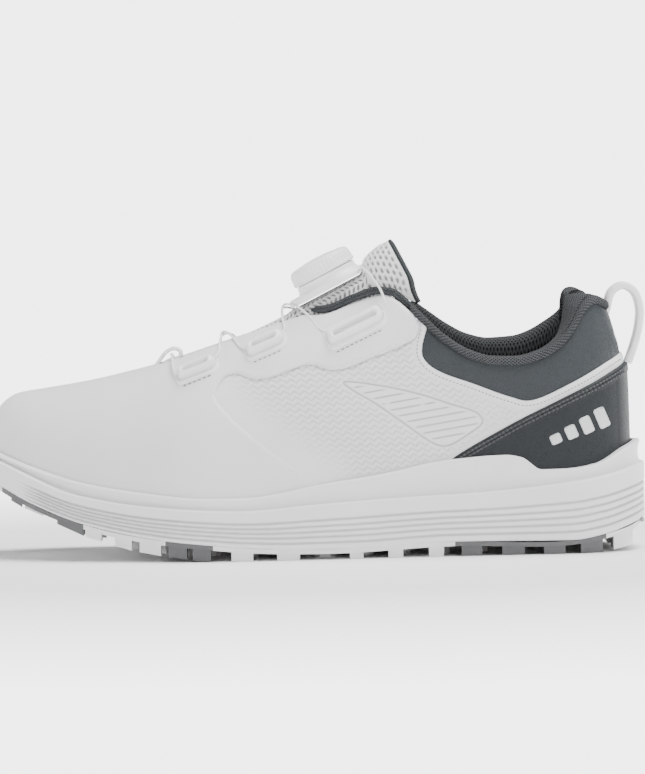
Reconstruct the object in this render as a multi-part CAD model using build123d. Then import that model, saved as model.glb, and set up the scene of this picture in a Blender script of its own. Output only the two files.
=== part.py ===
"""A left golf shoe with a lacing dial, as separate pieces.

Millimetres. +Z is up, the toe points along -X, the lateral (outer) side faces -Y and the medial
side +Y. The origin is on the ground under the middle of the sole's box.

The upper's walls are layers cut from nested solids of one last shape. last(d) is that solid with
its surface moved out by d, and d = 0 is the outside of the leather panels.
"""
import math
import os

from build123d import *

# ---------------------------------------------------------------- driving dimensions
LENGTH = 301.0             # sole, toe tip to heel
SOLE_WALL = 4.5            # sole's rim, from its outside to the upper
BAND_INSET = 2.0           # upper band of the midsole stands in from its lower part by this
PANEL = 1.8                # leather and microfibre panels
LINING = 1.5
OVERLAY = 0.8
STIFFENER = 0.9            # heel counter and toe puff, set into the panels
BOARD = 2.0                # insole board
SOCKLINER = 4.5
PLATE = 2.0                # outsole plate
LUG_ROOT = 0.8             # lugs reach this far into the plate
COLLAR_DEPTH = 20.0        # padded collar, down from the topline
FOAM_SKIN = 1.2            # knit over the collar foam
SEAM_Y = 4.5               # back seam, on the heel's middle
HALF_WIDTH = 90.0          # half-width of the cutting solids

THROAT_Y = -1.0            # middle of the throat, tongue and dial
SLOPE = 27.0               # slope of the instep under the dial, degrees
DIAL_FOOT = (10.25, 120.3)  # x, z of the dial's axis where it crosses the flange's middle
TONGUE_GAP = 2.2           # from the tongue's side to the eyestay's edge
LACE_RADIUS = 0.5
RUNNING = 0.05             # radial clearance of turning and sliding fits
LAST_FOOT = 5.0            # z of the last solid's underside, lower the further in it is
LOWEST_INSET = -12.0

# Share of the length (0 toe, 1 heel, cosine spaced) against y of the sole's outline.
LATERAL = [(0, 14), (0.1, -10), (0.2, -30), (0.3, -46), (0.4, -56), (0.5, -52),
           (0.6, -44.5), (0.7, -40), (0.8, -36), (0.9, -23), (1, 5)]
MEDIAL = [(0, 14), (0.1, 33), (0.2, 47.5), (0.3, 55), (0.4, 56), (0.5, 47),
          (0.6, 42.5), (0.7, 44.5), (0.8, 44), (0.9, 32), (1, 5)]
# The same share against the last's ridge, and the height where it is widest.
RIDGE = [(0, 46), (0.04, 57), (0.08, 66), (0.115, 71), (0.14, 73.3), (0.2, 75.6), (0.26, 78.4),
         (0.313, 82.4), (0.346, 85.7), (0.38, 90.5), (0.42, 97), (0.48, 108), (0.54, 121),
         (0.6, 140), (0.66, 162), (0.74, 185), (0.85, 200), (1, 205)]
WIDEST = [(0, 44), (0.1, 42), (0.2, 36), (0.3, 32), (0.4, 30), (0.5, 36), (0.6, 42),
          (0.7, 46), (1, 50)]
# The back of the heel leans forward by this much per millimetre above a height.
HEEL_LEAN = 0.12
HEEL_LEAN_FROM = 42.0

# Side view, x against z.
SOLE_TOP = [(-150.5, 50), (-136.5, 44.5), (-103, 34.5), (-69, 29.5), (-48, 27.7), (-30, 27.7),
            (-19, 28.7), (3, 32.8), (32, 37), (63, 42.7), (88.5, 44.3), (95, 43.3), (104.5, 37.6),
            (116.5, 37.8), (130, 39.7), (144, 46.4), (150.5, 49)]
SOLE_RIDGE = [(-150.5, 48), (-136.5, 42), (-103, 29), (-69, 24), (-30, 22), (3, 24.3), (40, 26.5),
              (75, 28), (109, 31), (130, 34), (150.5, 39)]
SOLE_BOTTOM = [(-150.5, 38.5), (-136.5, 31), (-124.5, 25), (-99.5, 16), (-62.5, 9), (-48, 7.5),
               (-30, 5.8), (-4, 4.6), (18, 4.6), (64, 6.5), (116, 6), (130, 8), (150.5, 14.5)]
LUG_BOTTOM = [(-150.5, 35), (-128, 23), (-100, 11), (-79, 5), (-65, 2.5), (-48, 0.3), (-30, 0),
              (130, 0), (143, 2.7), (150.5, 7)]
FOOTBED = [(-150.5, 47), (-136, 39), (-120, 31.5), (-90, 22), (-60, 16.5), (-30, 14.5),
           (0, 15.5), (30, 19), (60, 23), (90, 26), (120, 27.5), (150.5, 29)]
TOPLINE = [(1, 107.5), (8, 108), (21, 113), (31, 115.9), (37, 115.2), (45, 109), (52.5, 102),
           (61, 94.5), (71.5, 88), (82, 85), (92, 84.7), (102.5, 87), (111.5, 92), (118, 99),
           (123, 107), (128, 111.2), (136, 108)]
VAMP_SEAM = [(3, 34), (-11, 44), (-18.5, 49.5), (-27.5, 57), (-35, 64), (-41.5, 73)]
EYESTAY_FOOT = [(-37.5, 80.5), (-32, 81.7), (-24, 79.2), (-16, 80.2), (0, 85.3), (9, 82.9),
                (15, 83.1), (30, 88.5), (42, 93), (47.5, 96.5), (49.5, 101.5)]
COLLAR_SEAM = [(52.7, 101), (50.5, 93), (50.6, 88.6), (53.4, 84.8), (58.2, 81.6), (73.5, 75.8),
               (88.7, 70.1), (97.5, 68.1), (116.5, 75.5), (139, 87.4), (160, 99)]
HEEL_OVERLAY_TOP = [(60, 40), (63, 43), (88.5, 57.4), (109.5, 67.5), (126.5, 75.5), (160, 92)]
# x against half the width of the throat's gap.
THROAT = [(-62, 0.5), (-58, 6), (-40, 9), (-19, 12), (1, 16), (21, 19), (36, 21), (60, 24)]

# Perimeter lugs: x where each starts, its length and whether it is on a grey insert.
EDGE_LUGS = [(-136, 7.5, True), (-127.5, 8, False), (-112.5, 12, True), (-99.5, 7, False),
             (-86.5, 7.5, False), (-75.5, 9.5, False), (-62.5, 8, True), (-52, 8, True),
             (-35, 9.5, False), (-15, 10, False), (17, 6, False), (34, 6.5, False),
             (52, 6.5, False), (66.5, 9, True), (84.5, 10, True), (103, 9.5, True),
             (119.5, 10, True), (134.5, 9, False)]
# Stretches of the plate's rim that are grey.
TOE_INSERT = (-138, -100.5)
BALL_INSERT = (-64, -43)
HEEL_INSERT = (63.5, 131)

LATERAL_SIDE, MEDIAL_SIDE = -1, 1
PARTS = {}


# ---------------------------------------------------------------- the last
def smooth(table, x):
    """The value at x of a curve through (x, value) pairs that never overshoots them."""
    if x <= table[0][0]:
        return table[0][1]
    if x >= table[-1][0]:
        return table[-1][1]
    gaps = [b[0] - a[0] for a, b in zip(table, table[1:])]
    slopes = [(b[1] - a[1]) / gap for a, b, gap in zip(table, table[1:], gaps)]

    def tangent(i):
        if i == 0 or i == len(slopes):
            return slopes[min(i, len(slopes) - 1)]
        before, after = slopes[i - 1], slopes[i]
        if before * after <= 0:
            return 0.0
        weight_1 = 2 * gaps[i] + gaps[i - 1]
        weight_2 = gaps[i] + 2 * gaps[i - 1]
        return (weight_1 + weight_2) / (weight_1 / before + weight_2 / after)

    i = max(k for k in range(len(gaps)) if table[k][0] <= x)
    t = (x - table[i][0]) / gaps[i]
    return ((1 + 2 * t) * (1 - t) ** 2 * table[i][1]
            + t * (1 - t) ** 2 * gaps[i] * tangent(i)
            + t * t * (3 - 2 * t) * table[i + 1][1]
            + t * t * (t - 1) * gaps[i] * tangent(i + 1))


def outline_x(s, d):
    """The x at share s of the sole's outline moved out by d."""
    return -(LENGTH / 2 + d) * math.cos(math.pi * s)


def outline_y(table, s, d):
    """The y of one side of the sole's outline moved out by d, less at the two ends."""
    sign = LATERAL_SIDE if table is LATERAL else MEDIAL_SIDE
    return smooth(table, s) + sign * d * min(1.0, 3.2 * math.sin(math.pi * s))


def heel_lean(s, z):
    return -HEEL_LEAN * (z - HEEL_LEAN_FROM) * min(1.0, max(0.0, (s - 0.6) / 0.4))


ROUND_UP, ROUND_OUT = 2 / 1.7, 2 / 2.1    # the section's superellipse exponents


def last_point(s, climb, side, d):
    """A point of last(d): share s of the length, climb 0 (widest) to 1 (ridge), and a side."""
    lateral = outline_y(LATERAL, s, d - SOLE_WALL)
    medial = outline_y(MEDIAL, s, d - SOLE_WALL)
    middle = (lateral + medial) / 2
    edge = lateral if side == LATERAL_SIDE else medial
    widest, top = smooth(WIDEST, s), smooth(RIDGE, s) + d
    angle = climb * math.pi / 2
    z = widest + (top - widest) * math.sin(angle) ** ROUND_UP
    y = middle + (edge - middle) * abs(math.cos(angle)) ** ROUND_OUT
    return outline_x(s, d - SOLE_WALL) + heel_lean(s, z), y, z


def upper_at(x, z, side, d=0.0):
    """The point of last(d) seen at (x, z) from the side."""
    s = 0.5
    for _ in range(4):
        reach = (x - heel_lean(s, z)) / (LENGTH / 2 - SOLE_WALL + d)
        s = math.acos(max(-1.0, min(1.0, -reach))) / math.pi
    widest, top = smooth(WIDEST, s), smooth(RIDGE, s) + d
    rise = max(0.0, min(1.0, (z - widest) / (top - widest)))
    climb = math.asin(rise ** (1 / ROUND_UP)) / (math.pi / 2)
    return x, last_point(s, climb, side, d)[1], z


def last(d):
    """The solid last with its surface moved out by d, a number or a function of the share."""
    steps = 7
    low = LAST_FOOT + (LOWEST_INSET if callable(d) else d)
    wires = []
    for s in (0.015, 0.05, 0.1, 0.16, 0.23, 0.3, 0.37, 0.44, 0.5, 0.56, 0.62, 0.68, 0.75, 0.82,
              0.88, 0.93, 0.97, 0.985):
        out = d(s) if callable(d) else d
        points = []
        for side in (LATERAL_SIDE, MEDIAL_SIDE):
            x, y, widest = last_point(s, 0, side, out)
            x -= heel_lean(s, widest)
            column = [(x + heel_lean(s, z), y, z) for z in (low, (low + widest) / 2)]
            column += [last_point(s, k / steps, side, out) for k in range(steps)]
            points += column if side == LATERAL_SIDE else [last_point(s, 1, side, out)]
            if side == MEDIAL_SIDE:
                points += reversed(column)
        wires.append(Wire([Spline(*points), Line(points[-1], points[0])]))
    return Solid.make_loft(wires)


# ---------------------------------------------------------------- cutting solids
def across(outline):
    """A side-view outline, drawn in x and z, as a solid right across the shoe."""
    return extrude(make_face(Plane.XZ * outline), amount=HALF_WIDTH, both=True)


def side_zone(curve, *corners):
    """The solid inside a smooth side-view curve closed through the corners."""
    rest = Polyline(curve[-1], *corners, curve[0])
    return across(Wire([Spline(*curve), *rest.edges()]))


def moved(table, rise):
    return [(x, z + rise) for x, z in table]


def above(table, rise=0.0):
    curve = moved(table, rise)
    return side_zone(curve, (curve[-1][0] + 20, curve[-1][1]), (curve[-1][0] + 20, 260),
                     (curve[0][0] - 20, 260), (curve[0][0] - 20, curve[0][1]))


def below(table, rise=0.0):
    curve = moved(table, rise)
    return side_zone(curve, (curve[-1][0] + 20, curve[-1][1]), (curve[-1][0] + 20, -30),
                     (curve[0][0] - 20, -30), (curve[0][0] - 20, curve[0][1]))


def slab(low, high, across_y=(-HALF_WIDTH, HALF_WIDTH), z=(-30, 260)):
    """A box between two x values."""
    size = (high - low, across_y[1] - across_y[0], z[1] - z[0])
    middle = ((low + high) / 2, sum(across_y) / 2, sum(z) / 2)
    return Pos(*middle) * Box(*size)


def sole_prism(d, low=-5.0, high=60.0):
    """The sole's outline moved out by d, as an upright solid."""
    shares = [0, 0.03, 0.07, 0.12, 0.18, 0.25, 0.32, 0.4, 0.48, 0.56, 0.64, 0.72, 0.8, 0.87,
              0.93, 0.97, 1]
    lateral = [(outline_x(s, d), outline_y(LATERAL, s, d)) for s in shares]
    medial = [(outline_x(s, d), outline_y(MEDIAL, s, d)) for s in reversed(shares)]
    loop = Wire([Spline(*lateral, tangents=[(0, -1), (0, 1)]),
                 Spline(*medial, tangents=[(0, 1), (0, -1)])])
    return Pos(0, 0, low) * extrude(make_face(loop), amount=high - low)


def throat_slot():
    """The gap between the eyestays, as an upright solid."""
    near = [(x, THROAT_Y - smooth(THROAT, x)) for x, _ in THROAT]
    far = [(x, THROAT_Y + smooth(THROAT, x)) for x, _ in reversed(THROAT)]
    return Pos(0, 0, 60) * extrude(make_face(Polyline(*near, *far, close=True)), amount=200)


def only(shape):
    """The largest solid of a cut, without crumbs."""
    return max(shape.solids(), key=lambda solid: solid.volume)


def pieces(shape, smallest=5.0):
    """All the solids of a cut that are larger than a crumb."""
    return Compound(children=[s for s in shape.solids() if s.volume > smallest])


# ---------------------------------------------------------------- sole
def lug_band():
    """Everything from the lugs' flat bottoms to just inside the plate."""
    top = [(x, z - PLATE + LUG_ROOT) for x, z in reversed(SOLE_BOTTOM)]
    return across(Polyline(*LUG_BOTTOM, *top, close=True))


def edge_lugs(grey):
    """Blocks round the sole's edge, both sides alike."""
    blocks = [slab(x, x + length) for x, length, is_grey in EDGE_LUGS if is_grey == grey]
    ring = sole_prism(-2.2) - sole_prism(-13)
    ring = ring - slab(-170, 170, (SEAM_Y - 4, SEAM_Y + 4))
    return (ring & Compound(children=blocks)) & lug_band()


def inner_studs():
    """Six-sided studs over the middle of the sole."""
    studs = []
    pitch_x, pitch_y, radius = 17.0, 15.0, 4.6
    rim = 15.0             # clear of the perimeter lugs
    for row in range(-7, 8):
        for column in range(-3, 4):
            x = row * pitch_x + 6
            y = (column + 0.5 * (row % 2)) * pitch_y
            s = math.acos(max(-1.0, min(1.0, -x / (LENGTH / 2)))) / math.pi
            room = rim + radius
            if outline_y(LATERAL, s, -room) < y < outline_y(MEDIAL, s, -room):
                studs.append(Pos(x, y, 0) * extrude(RegularPolygon(radius, 6), amount=60))
    return Compound(children=studs) & lug_band()


def sole():
    foot_space = LAST_OUT & above(FOOTBED, -BOARD)
    lower = sole_prism(0) & below(SOLE_RIDGE)
    band = sole_prism(-BAND_INSET) & below(SOLE_TOP)
    bulk = (lower + band) & above(SOLE_BOTTOM)
    shank_zone = slab(-20, 78, (-14, 14)) & below(FOOTBED, -BOARD) & above(FOOTBED, -BOARD - 1.6)
    PARTS["shank_plate"] = only(shank_zone)
    PARTS["midsole"] = only(bulk - foot_space - shank_zone)

    plate = sole_prism(-1.2) & below(SOLE_BOTTOM) & above(SOLE_BOTTOM, -PLATE)
    core = Pos(0, 1, -10) * extrude(SlotOverall(284, 46), amount=80)
    toe_zone, ball_zone, heel_zone = (slab(*reach) - core for reach in
                                      (TOE_INSERT, BALL_INSERT, HEEL_INSERT))
    grey_lugs = edge_lugs(True)
    white = plate - toe_zone - ball_zone - heel_zone
    white = white + edge_lugs(False) + inner_studs()
    PARTS["outsole_plate"] = only(white - toe_zone - ball_zone - heel_zone)
    for name, zone in (("toe_grip_insert", toe_zone), ("ball_grip_insert", ball_zone),
                       ("heel_grip_insert", heel_zone)):
        PARTS[name] = pieces((plate & zone) + (grey_lugs & zone))

    PARTS["insole_board"] = only(LAST_MID & above(FOOTBED, -BOARD) & below(FOOTBED))
    PARTS["sockliner"] = only(last(-PANEL - LINING - 0.2) & above(FOOTBED)
                              & below(FOOTBED, SOCKLINER))


# ---------------------------------------------------------------- upper
def upper():
    topline_zone = side_zone(TOPLINE, (175, 108), (175, -30), (-175, -30), (-175, 140), (1, 140))
    upper_zone = (topline_zone & above(FOOTBED, -BOARD)) - throat_slot()
    wall = (LAST_OUT - LAST_MID) & upper_zone

    vamp_zone = side_zone(VAMP_SEAM + EYESTAY_FOOT, (46.5, 108.5), (44, 150), (-175, 150),
                          (-175, -30), (3, -30))
    collar_zone = side_zone(COLLAR_SEAM, (175, 99), (175, 150), (52.7, 150))
    stiffener_wall = last(-STIFFENER) - LAST_MID
    counter_zone = side_zone([(84, 27), (87, 44), (98, 58), (120, 65), (145, 66)], (175, 66),
                             (175, 20), (84, 20)) & above(FOOTBED)
    counter = only(stiffener_wall & counter_zone)
    puff = only(stiffener_wall & side_zone([(-112, 26), (-109, 45), (-116, 62), (-126, 90)],
                                           (-175, 90), (-175, 20)) & above(FOOTBED))
    vamp = wall & vamp_zone
    PARTS["vamp"] = only(vamp - puff)
    behind = wall - vamp_zone
    PARTS["collar_panel"] = only(behind & collar_zone)
    quarters = behind - collar_zone - counter
    PARTS["quarter_lateral"] = only(quarters & slab(-170, 170, (-HALF_WIDTH, SEAM_Y)))
    PARTS["quarter_medial"] = only(quarters & slab(-170, 170, (SEAM_Y, HALF_WIDTH)))
    PARTS["heel_counter"] = counter
    PARTS["toe_puff"] = puff

    overlay_zone = below(HEEL_OVERLAY_TOP) & above(SOLE_TOP, 0.05) & slab(63, 170)
    PARTS["heel_overlay"] = only((LAST_OVER - LAST_OUT) & overlay_zone)
    badge = Pos(120, 55.5) * Rot(0, 0, 23) * SlotOverall(28, 8)
    PARTS["heel_badges"] = pieces((last(OVERLAY + 0.5) - LAST_OVER) & across(badge), 1.0)

    lining = (LAST_MID - LAST_IN) & upper_zone & above(FOOTBED)
    PARTS["vamp_lining"] = only(lining & slab(-170, 46))
    PARTS["quarter_lining"] = only(lining & slab(46, 170) & below(TOPLINE, -COLLAR_DEPTH))
    collar()


def collar_inset(s):
    """How far inside the last the padded collar's inner face is, by share of the length."""
    return smooth([(0.55, -3.4), (0.6, -4), (0.7, -9), (0.8, -12), (1, -10)], s)


def collar():
    """The padded roll round the ankle, 2 to 6.5 mm higher than the leather's topline."""
    roll = [(x, z + smooth([(45, 3.4), (80, 6.5), (118, 6), (136, 2)], x)) for x, z in TOPLINE]
    reach = slab(46, 170)
    ring_zone = above(TOPLINE, -COLLAR_DEPTH) & below(roll) & reach
    ring = only((LAST_MID - last(collar_inset)) & ring_zone)
    foam_wall = last(-PANEL - FOAM_SKIN) - last(lambda s: collar_inset(s) + FOAM_SKIN)
    foam_zone = (above(TOPLINE, -COLLAR_DEPTH + FOAM_SKIN) & below(moved(roll, -FOAM_SKIN))
                 & slab(62, 170))
    PARTS["collar_foam"] = only(foam_wall & foam_zone)
    PARTS["collar_lining"] = only(ring - PARTS["collar_foam"])

    radius = 1.65
    sides = []
    for side in (LATERAL_SIDE, MEDIAL_SIDE):
        centres = [(x, THROAT_Y + side * (smooth(THROAT, x) + 1.2), smooth(TOPLINE, x) + 2.1)
                   for x in (3, 12, 21, 30, 37, 44)]
        sides.append(rope(centres, radius))
    PARTS["eyestay_binding"] = Compound(children=sides)


def rope(centres, radius):
    """A round strip through the centres, as a loft of circles."""
    rings = []
    for i, centre in enumerate(centres):
        before, after = centres[max(0, i - 1)], centres[min(len(centres) - 1, i + 1)]
        along = Vector(*after) - Vector(*before)
        rings.append((Plane(origin=centre, x_dir=(0, 1, 0) if abs(along.Y) < 1 else None,
                            z_dir=along) * Circle(radius)).wire())
    return Solid.make_loft(rings)


def ribbon(points, thickness, width, middle_y):
    """A strap of one thickness along a smooth side-view line."""
    line = Spline(*points)
    count = 24
    left, right = [], []
    for i in range(count + 1):
        at, along = line @ (i / count), line % (i / count)
        left.append((at.X - along.Y * thickness / 2, at.Y + along.X * thickness / 2))
        right.append((at.X + along.Y * thickness / 2, at.Y - along.X * thickness / 2))
    outline = Wire([Spline(*left), Line(left[-1], right[-1]), Spline(*reversed(right)),
                    Line(right[0], left[0])])
    return Pos(0, middle_y, 0) * extrude(make_face(Plane.XZ * outline), amount=width / 2,
                                         both=True)


def straps():
    tab_line = [(139.3, 106.5), (138.9, 114), (142.5, 117.5), (147, 114), (148.4, 107),
                (147.4, 96), (142.4, 86)]
    PARTS["pull_tab"] = only(ribbon(tab_line, 2.0, 14.0, SEAM_Y) - LAST_OUT)
    hole = Pos(-61.8, 90) * Circle(1.4)
    webbing = Polyline((-68.5, 86.6), (-65.5, 90.5), (-62.5, 92.8), (-58.5, 92.6), (-57, 90.2),
                    (-58.5, 88.2), (-62.5, 88.2), close=True)
    strap = Pos(0, THROAT_Y, 0) * extrude(Plane.XZ * (make_face(webbing) - hole), amount=4,
                                          both=True)
    PARTS["toe_loop"] = only(strap - LAST_OUT)


# ---------------------------------------------------------------- tongue
DIAL = Plane(origin=(DIAL_FOOT[0], THROAT_Y, DIAL_FOOT[1]),
             x_dir=(math.cos(math.radians(SLOPE)), 0, math.sin(math.radians(SLOPE))),
             z_dir=(-math.sin(math.radians(SLOPE)), 0, math.cos(math.radians(SLOPE))))
TONGUE_TOP = [(-70, 0.5), (-50, -1.6), (-24, -2.6), (-21, -2.1), (19.5, -2.1), (22.5, 4.6),
              (27, 5.5), (33, 5.3)]
TONGUE_DEPTH = [(-70, 6.5), (-50, 7.5), (-24, 10), (0, 13), (19.5, 20), (33, 32)]
MESH, TONGUE_FOAM, TONGUE_LINING = 1.3, 4.2, 1.0


def tongue_layer(start, end, outer, inner, proud=0.0):
    """The arched tongue between two depths under its top, from u = start to u = end."""
    stops = [u for u in (-70, -60, -48, -36, -24, -19, -8, 6, 16, 19.5, 21, 22.5, 27, 33)
             if start < u < end]
    steps = 6
    wires = []
    for u in [start, *stops, end]:
        half = smooth(THROAT, DIAL_FOOT[0] + u * DIAL.x_dir.X) - TONGUE_GAP + proud
        half = min(half, 19.5)
        top, depth = smooth(TONGUE_TOP, u) + proud, smooth(TONGUE_DEPTH, u)
        thin = min(1.0, (half - 1.2) / 7.0)
        arches = []
        for inset in (outer * thin, inner * thin):
            arch = []
            for k in range(-steps, steps + 1):
                angle = math.pi / 2 * k / steps
                y = math.copysign(abs(math.sin(angle)) ** (2 / 3), k) * (half - inset)
                w = top - depth + (depth - inset) * abs(math.cos(angle)) ** (2 / 3)
                arch.append((u, y, w))
            arches.append(arch)
        edges = [Spline(*arches[0]), Line(arches[0][-1], arches[1][-1]),
                 Spline(*reversed(arches[1])), Line(arches[1][0], arches[0][0])]
        wires.append(DIAL * Wire(edges))
    return Solid.make_loft(wires)


def tongue():
    end = 31.5
    under_mesh = MESH + TONGUE_FOAM
    PARTS["tongue_mesh"] = tongue_layer(-70, end, 0, MESH)
    PARTS["tongue_foam"] = tongue_layer(-70, end, MESH, under_mesh)
    PARTS["tongue_lining"] = tongue_layer(-70, end, under_mesh, under_mesh + TONGUE_LINING)
    PARTS["tongue_binding"] = tongue_layer(end, end + 2.2, 0, under_mesh + TONGUE_LINING, 0.4)


# ---------------------------------------------------------------- lacing dial
FLANGE_TOP = 1.2
HOUSING_TOP = 7.4
HOUSING_RADIUS = 13.0
TEETH = 24


def turned(radius, low, high, bore=0.0):
    """A disc or ring on the dial's axis."""
    ring = Pos(0, 0, low) * extrude(Circle(radius), amount=high - low)
    if bore:
        ring -= Pos(0, 0, low - 1) * extrude(Circle(bore), amount=high - low + 2)
    return ring


def placed(solid):
    return only(DIAL * solid)


def dial():
    axle, sleeve = 2.0, 3.1
    flange = Pos(-1.5, 0, -1.5) * extrude(SlotOverall(38, 32), amount=FLANGE_TOP + 1.5)
    lace_ports = [Pos(9, side * 5.2, 0) * Rot(0, 0, side * 33) * Rot(0, 90, 0)
                  * Cylinder(0.9, 22) for side in (LATERAL_SIDE, MEDIAL_SIDE)]
    PARTS["dial_flange"] = placed(flange - lace_ports[0] - lace_ports[1])

    floor = FLANGE_TOP + 1.2
    housing = turned(HOUSING_RADIUS, FLANGE_TOP, HOUSING_TOP) - turned(11.0, floor, 20)
    for angle in (60, -60):
        port = Rot(0, 0, angle) * Pos(12, 0, floor + 1.2) * Box(4, 3, 2)
        housing -= port
    PARTS["dial_housing"] = placed(housing)

    ring = turned(11.0, 5.4, HOUSING_TOP, 10.2)
    tooth = make_face(Polyline((10.4, -0.9), (9.5, 0.0), (10.4, 0.35), close=True))
    for k in range(TEETH):
        ring += Pos(0, 0, 5.4) * extrude(Rot(0, 0, k * 360 / TEETH) * tooth, amount=2.0)
    PARTS["ratchet_ring"] = placed(ring)

    spool = turned(10.4, floor + 0.2, 5.2, sleeve + 0.3)
    groove = turned(11, floor + 0.9, 4.6, 8.4)
    PARTS["lace_spool"] = placed(spool - groove)

    screw = turned(axle, floor, 12.3) + turned(3.0, 11.4, 12.3)
    PARTS["dial_axle"] = placed(screw)
    PARTS["lift_sleeve"] = placed(turned(sleeve, floor + 0.2, 7.9, axle + RUNNING))
    PARTS["detent_spring"] = placed(turned(2.9, 10.5, 11.3, axle))

    disc = turned(8.2, 5.5, 6.7, sleeve + RUNNING)
    pawl = make_face(Polyline((7.6, -2.6), (8.6, -2.2), (9.35, 0.1), (9.0, 0.5), (7.9, -0.6),
                              close=True))
    for k in range(3):
        disc += Pos(0, 0, 5.5) * extrude(Rot(0, 0, k * 120 + 3.5) * pawl, amount=1.2)
    PARTS["pawl_disc"] = placed(disc)

    core = turned(14.2, 8.5, 10.0, 3.4) + turned(14.2, 6.2, 10.0, 13.4)
    core += turned(8.0, 6.7, 8.5, sleeve + RUNNING)
    PARTS["knob_core"] = placed(core)
    grip = turned(14.9, 5.6, 12.6, 14.2) + turned(14.9, 10.0, 12.6, 11.8)
    notch = extrude(Circle(0.6), amount=20)
    for k in range(36):
        grip -= Rot(0, 0, k * 10) * Pos(15.1, 0, 0) * notch
    PARTS["knob_grip"] = placed(grip)
    PARTS["knob_cap"] = placed(Pos(0, 0, 12.8) * Cone(11.8, 9.6, 1.2) + turned(11.8, 10.0, 12.25)
                               - turned(3.6, 5, 12.75))


# ---------------------------------------------------------------- lace and its guides
# Each guide's rear and front end, seen from the side, and its height across.
GUIDES = {"top": ((32.5, 106.7), (10.0, 96.4), 9.5),
          "middle": ((-11.1, 96.6), (-26.8, 90.4), 9.5),
          "low": ((-41.2, 86.2), (-56.8, 80.4), 9.0)}
GUIDE_THICKNESS = 3.4
LACE_HEIGHT = 1.9          # lace above the leather, inside a guide


def guide_plane(rear, front, side):
    """A plane on the upper: origin at the guide's middle, x towards its rear end, z outwards."""
    end_r, end_f = Vector(*upper_at(*rear, side)), Vector(*upper_at(*front, side))
    x, z = (rear[0] + front[0]) / 2, (rear[1] + front[1]) / 2
    origin = Vector(*upper_at(x, z, side))
    up = Vector(*upper_at(x, z + 1, side)) - origin
    along = (end_r - end_f).normalized()
    normal = along.cross(up).normalized()
    if normal.Y * side < 0:
        normal = normal * -1
    return Plane(origin=origin, x_dir=along, z_dir=normal)


def guides():
    """Moulded tunnels that carry the lace, and the lace's points inside each."""
    ends = {}
    for side, word in ((LATERAL_SIDE, "lateral"), (MEDIAL_SIDE, "medial")):
        for name, (rear, front, height) in GUIDES.items():
            plane = guide_plane(rear, front, side)
            length = math.dist(rear, front)
            blank = Pos(0, 0, 0.1) * extrude(RectangleRounded(length, height, 2.6),
                                             amount=GUIDE_THICKNESS)
            tunnel = Pos(0, 0, LACE_HEIGHT) * Rot(0, 90, 0) * Cylinder(1.0, length + 4)
            window = Pos(0, 0, GUIDE_THICKNESS - 0.6) * extrude(SlotOverall(length - 7, 1.8),
                                                                amount=2)
            PARTS[f"lace_guide_{name}_{word}"] = only(plane * (blank - tunnel - window)
                                                      - LAST_OUT)
            ends[name, side] = [plane.from_local_coords(Vector(k * (length / 2 + 2), 0,
                                                               LACE_HEIGHT)) for k in (1, -1)]
    return ends


def over_edge(x, side, lift=1.5):
    """A point above the eyestay's edge."""
    y = smooth(THROAT, x)
    height = smooth(WIDEST, 0.4)
    while abs(upper_at(x, height, side)[1] - THROAT_Y) > y:
        height += 0.25
    return Vector(x, THROAT_Y + side * y, height + lift)


def lace_half(ends, side, over):
    """The lace's points from the dial to the toe loop, starting on one side."""
    def on_dial(u, y, w):
        return DIAL.from_local_coords(Vector(u, side * y, w))

    def beside(x, y, z):
        return Vector(x, THROAT_Y + side * y, z)

    top, middle, low = ends["top", side], ends["middle", -side], ends["low", side]
    return [on_dial(10, 5.9, 0), on_dial(14.6, 8.8, 0.1), on_dial(16.5, 15.5, 0.5),
            beside(29.5, 21.5, 122.5), beside(32.5, 27.2, 118), beside(34.6, 29, 112),
            top[0], top[1], over_edge(-1.5, side, 3.6), Vector(-12.8, THROAT_Y, 112.2 + over * 0.8),
            over_edge(-11.6, -side), middle[0], middle[1], over_edge(-34, -side, 1.9),
            Vector(-38.5, THROAT_Y, 99.8 - over * 0.8), over_edge(-39.8, side), low[0], low[1],
            Vector(*upper_at(-60, 83.5, side, 2.2)), beside(-61, 9, 89)]


def filleted(points, largest=5.0):
    """Straight runs through the points joined by tangent arcs."""
    radii = []
    for before, at, after in zip(points, points[1:], points[2:]):
        turn = math.radians((at - before).get_angle(after - at))
        shorter = min((at - before).length, (after - at).length)
        radii.append(min(largest, 0.45 * shorter / math.tan(turn / 2)))
    print("lace radii", [round(r, 1) for r in radii])
    return FilletPolyline(*points, radius=radii)


def lace(ends):
    out = lace_half(ends, LATERAL_SIDE, 1)
    back = lace_half(ends, MEDIAL_SIDE, -1)
    loop = Vector(-61.8, THROAT_Y, 90)
    through = [loop + Vector(0, -3.5, 0), loop + Vector(0, 3.5, 0)]
    path = filleted([*out, *through, *reversed(back)])
    start = Plane(origin=path @ 0, z_dir=path % 0)
    tube = sweep(start * Circle(LACE_RADIUS), path)
    print("lace length", round(path.length, 1), "volume ratio",
          round(tube.volume / (math.pi * LACE_RADIUS ** 2 * path.length), 4))
    PARTS["lace"] = tube


# ---------------------------------------------------------------- build and write
LAST_OUT = last(0)
LAST_MID = last(-PANEL)
LAST_IN = last(-PANEL - LINING)
LAST_OVER = last(OVERLAY)

sole()
upper()
straps()
tongue()
dial()
lace(guides())

os.makedirs("parts", exist_ok=True)
for node, solid in PARTS.items():
    export_step(solid, f"parts/{node}.step")
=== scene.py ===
"""The golf shoe's looks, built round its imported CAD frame.

Shapes are worked out in millimetres in the frame's own axes and written in metres: toe at -X, heel
at +X, lateral side at -Y, ground at z = 0. The upper is one surface, upper(s, v): s runs from toe (0)
to heel (1) and v over the shoe from the lateral side (-1) by the ridge (0) to the medial side (1).
"""
import math

import bpy
import numpy as np
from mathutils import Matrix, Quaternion, Vector


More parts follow.
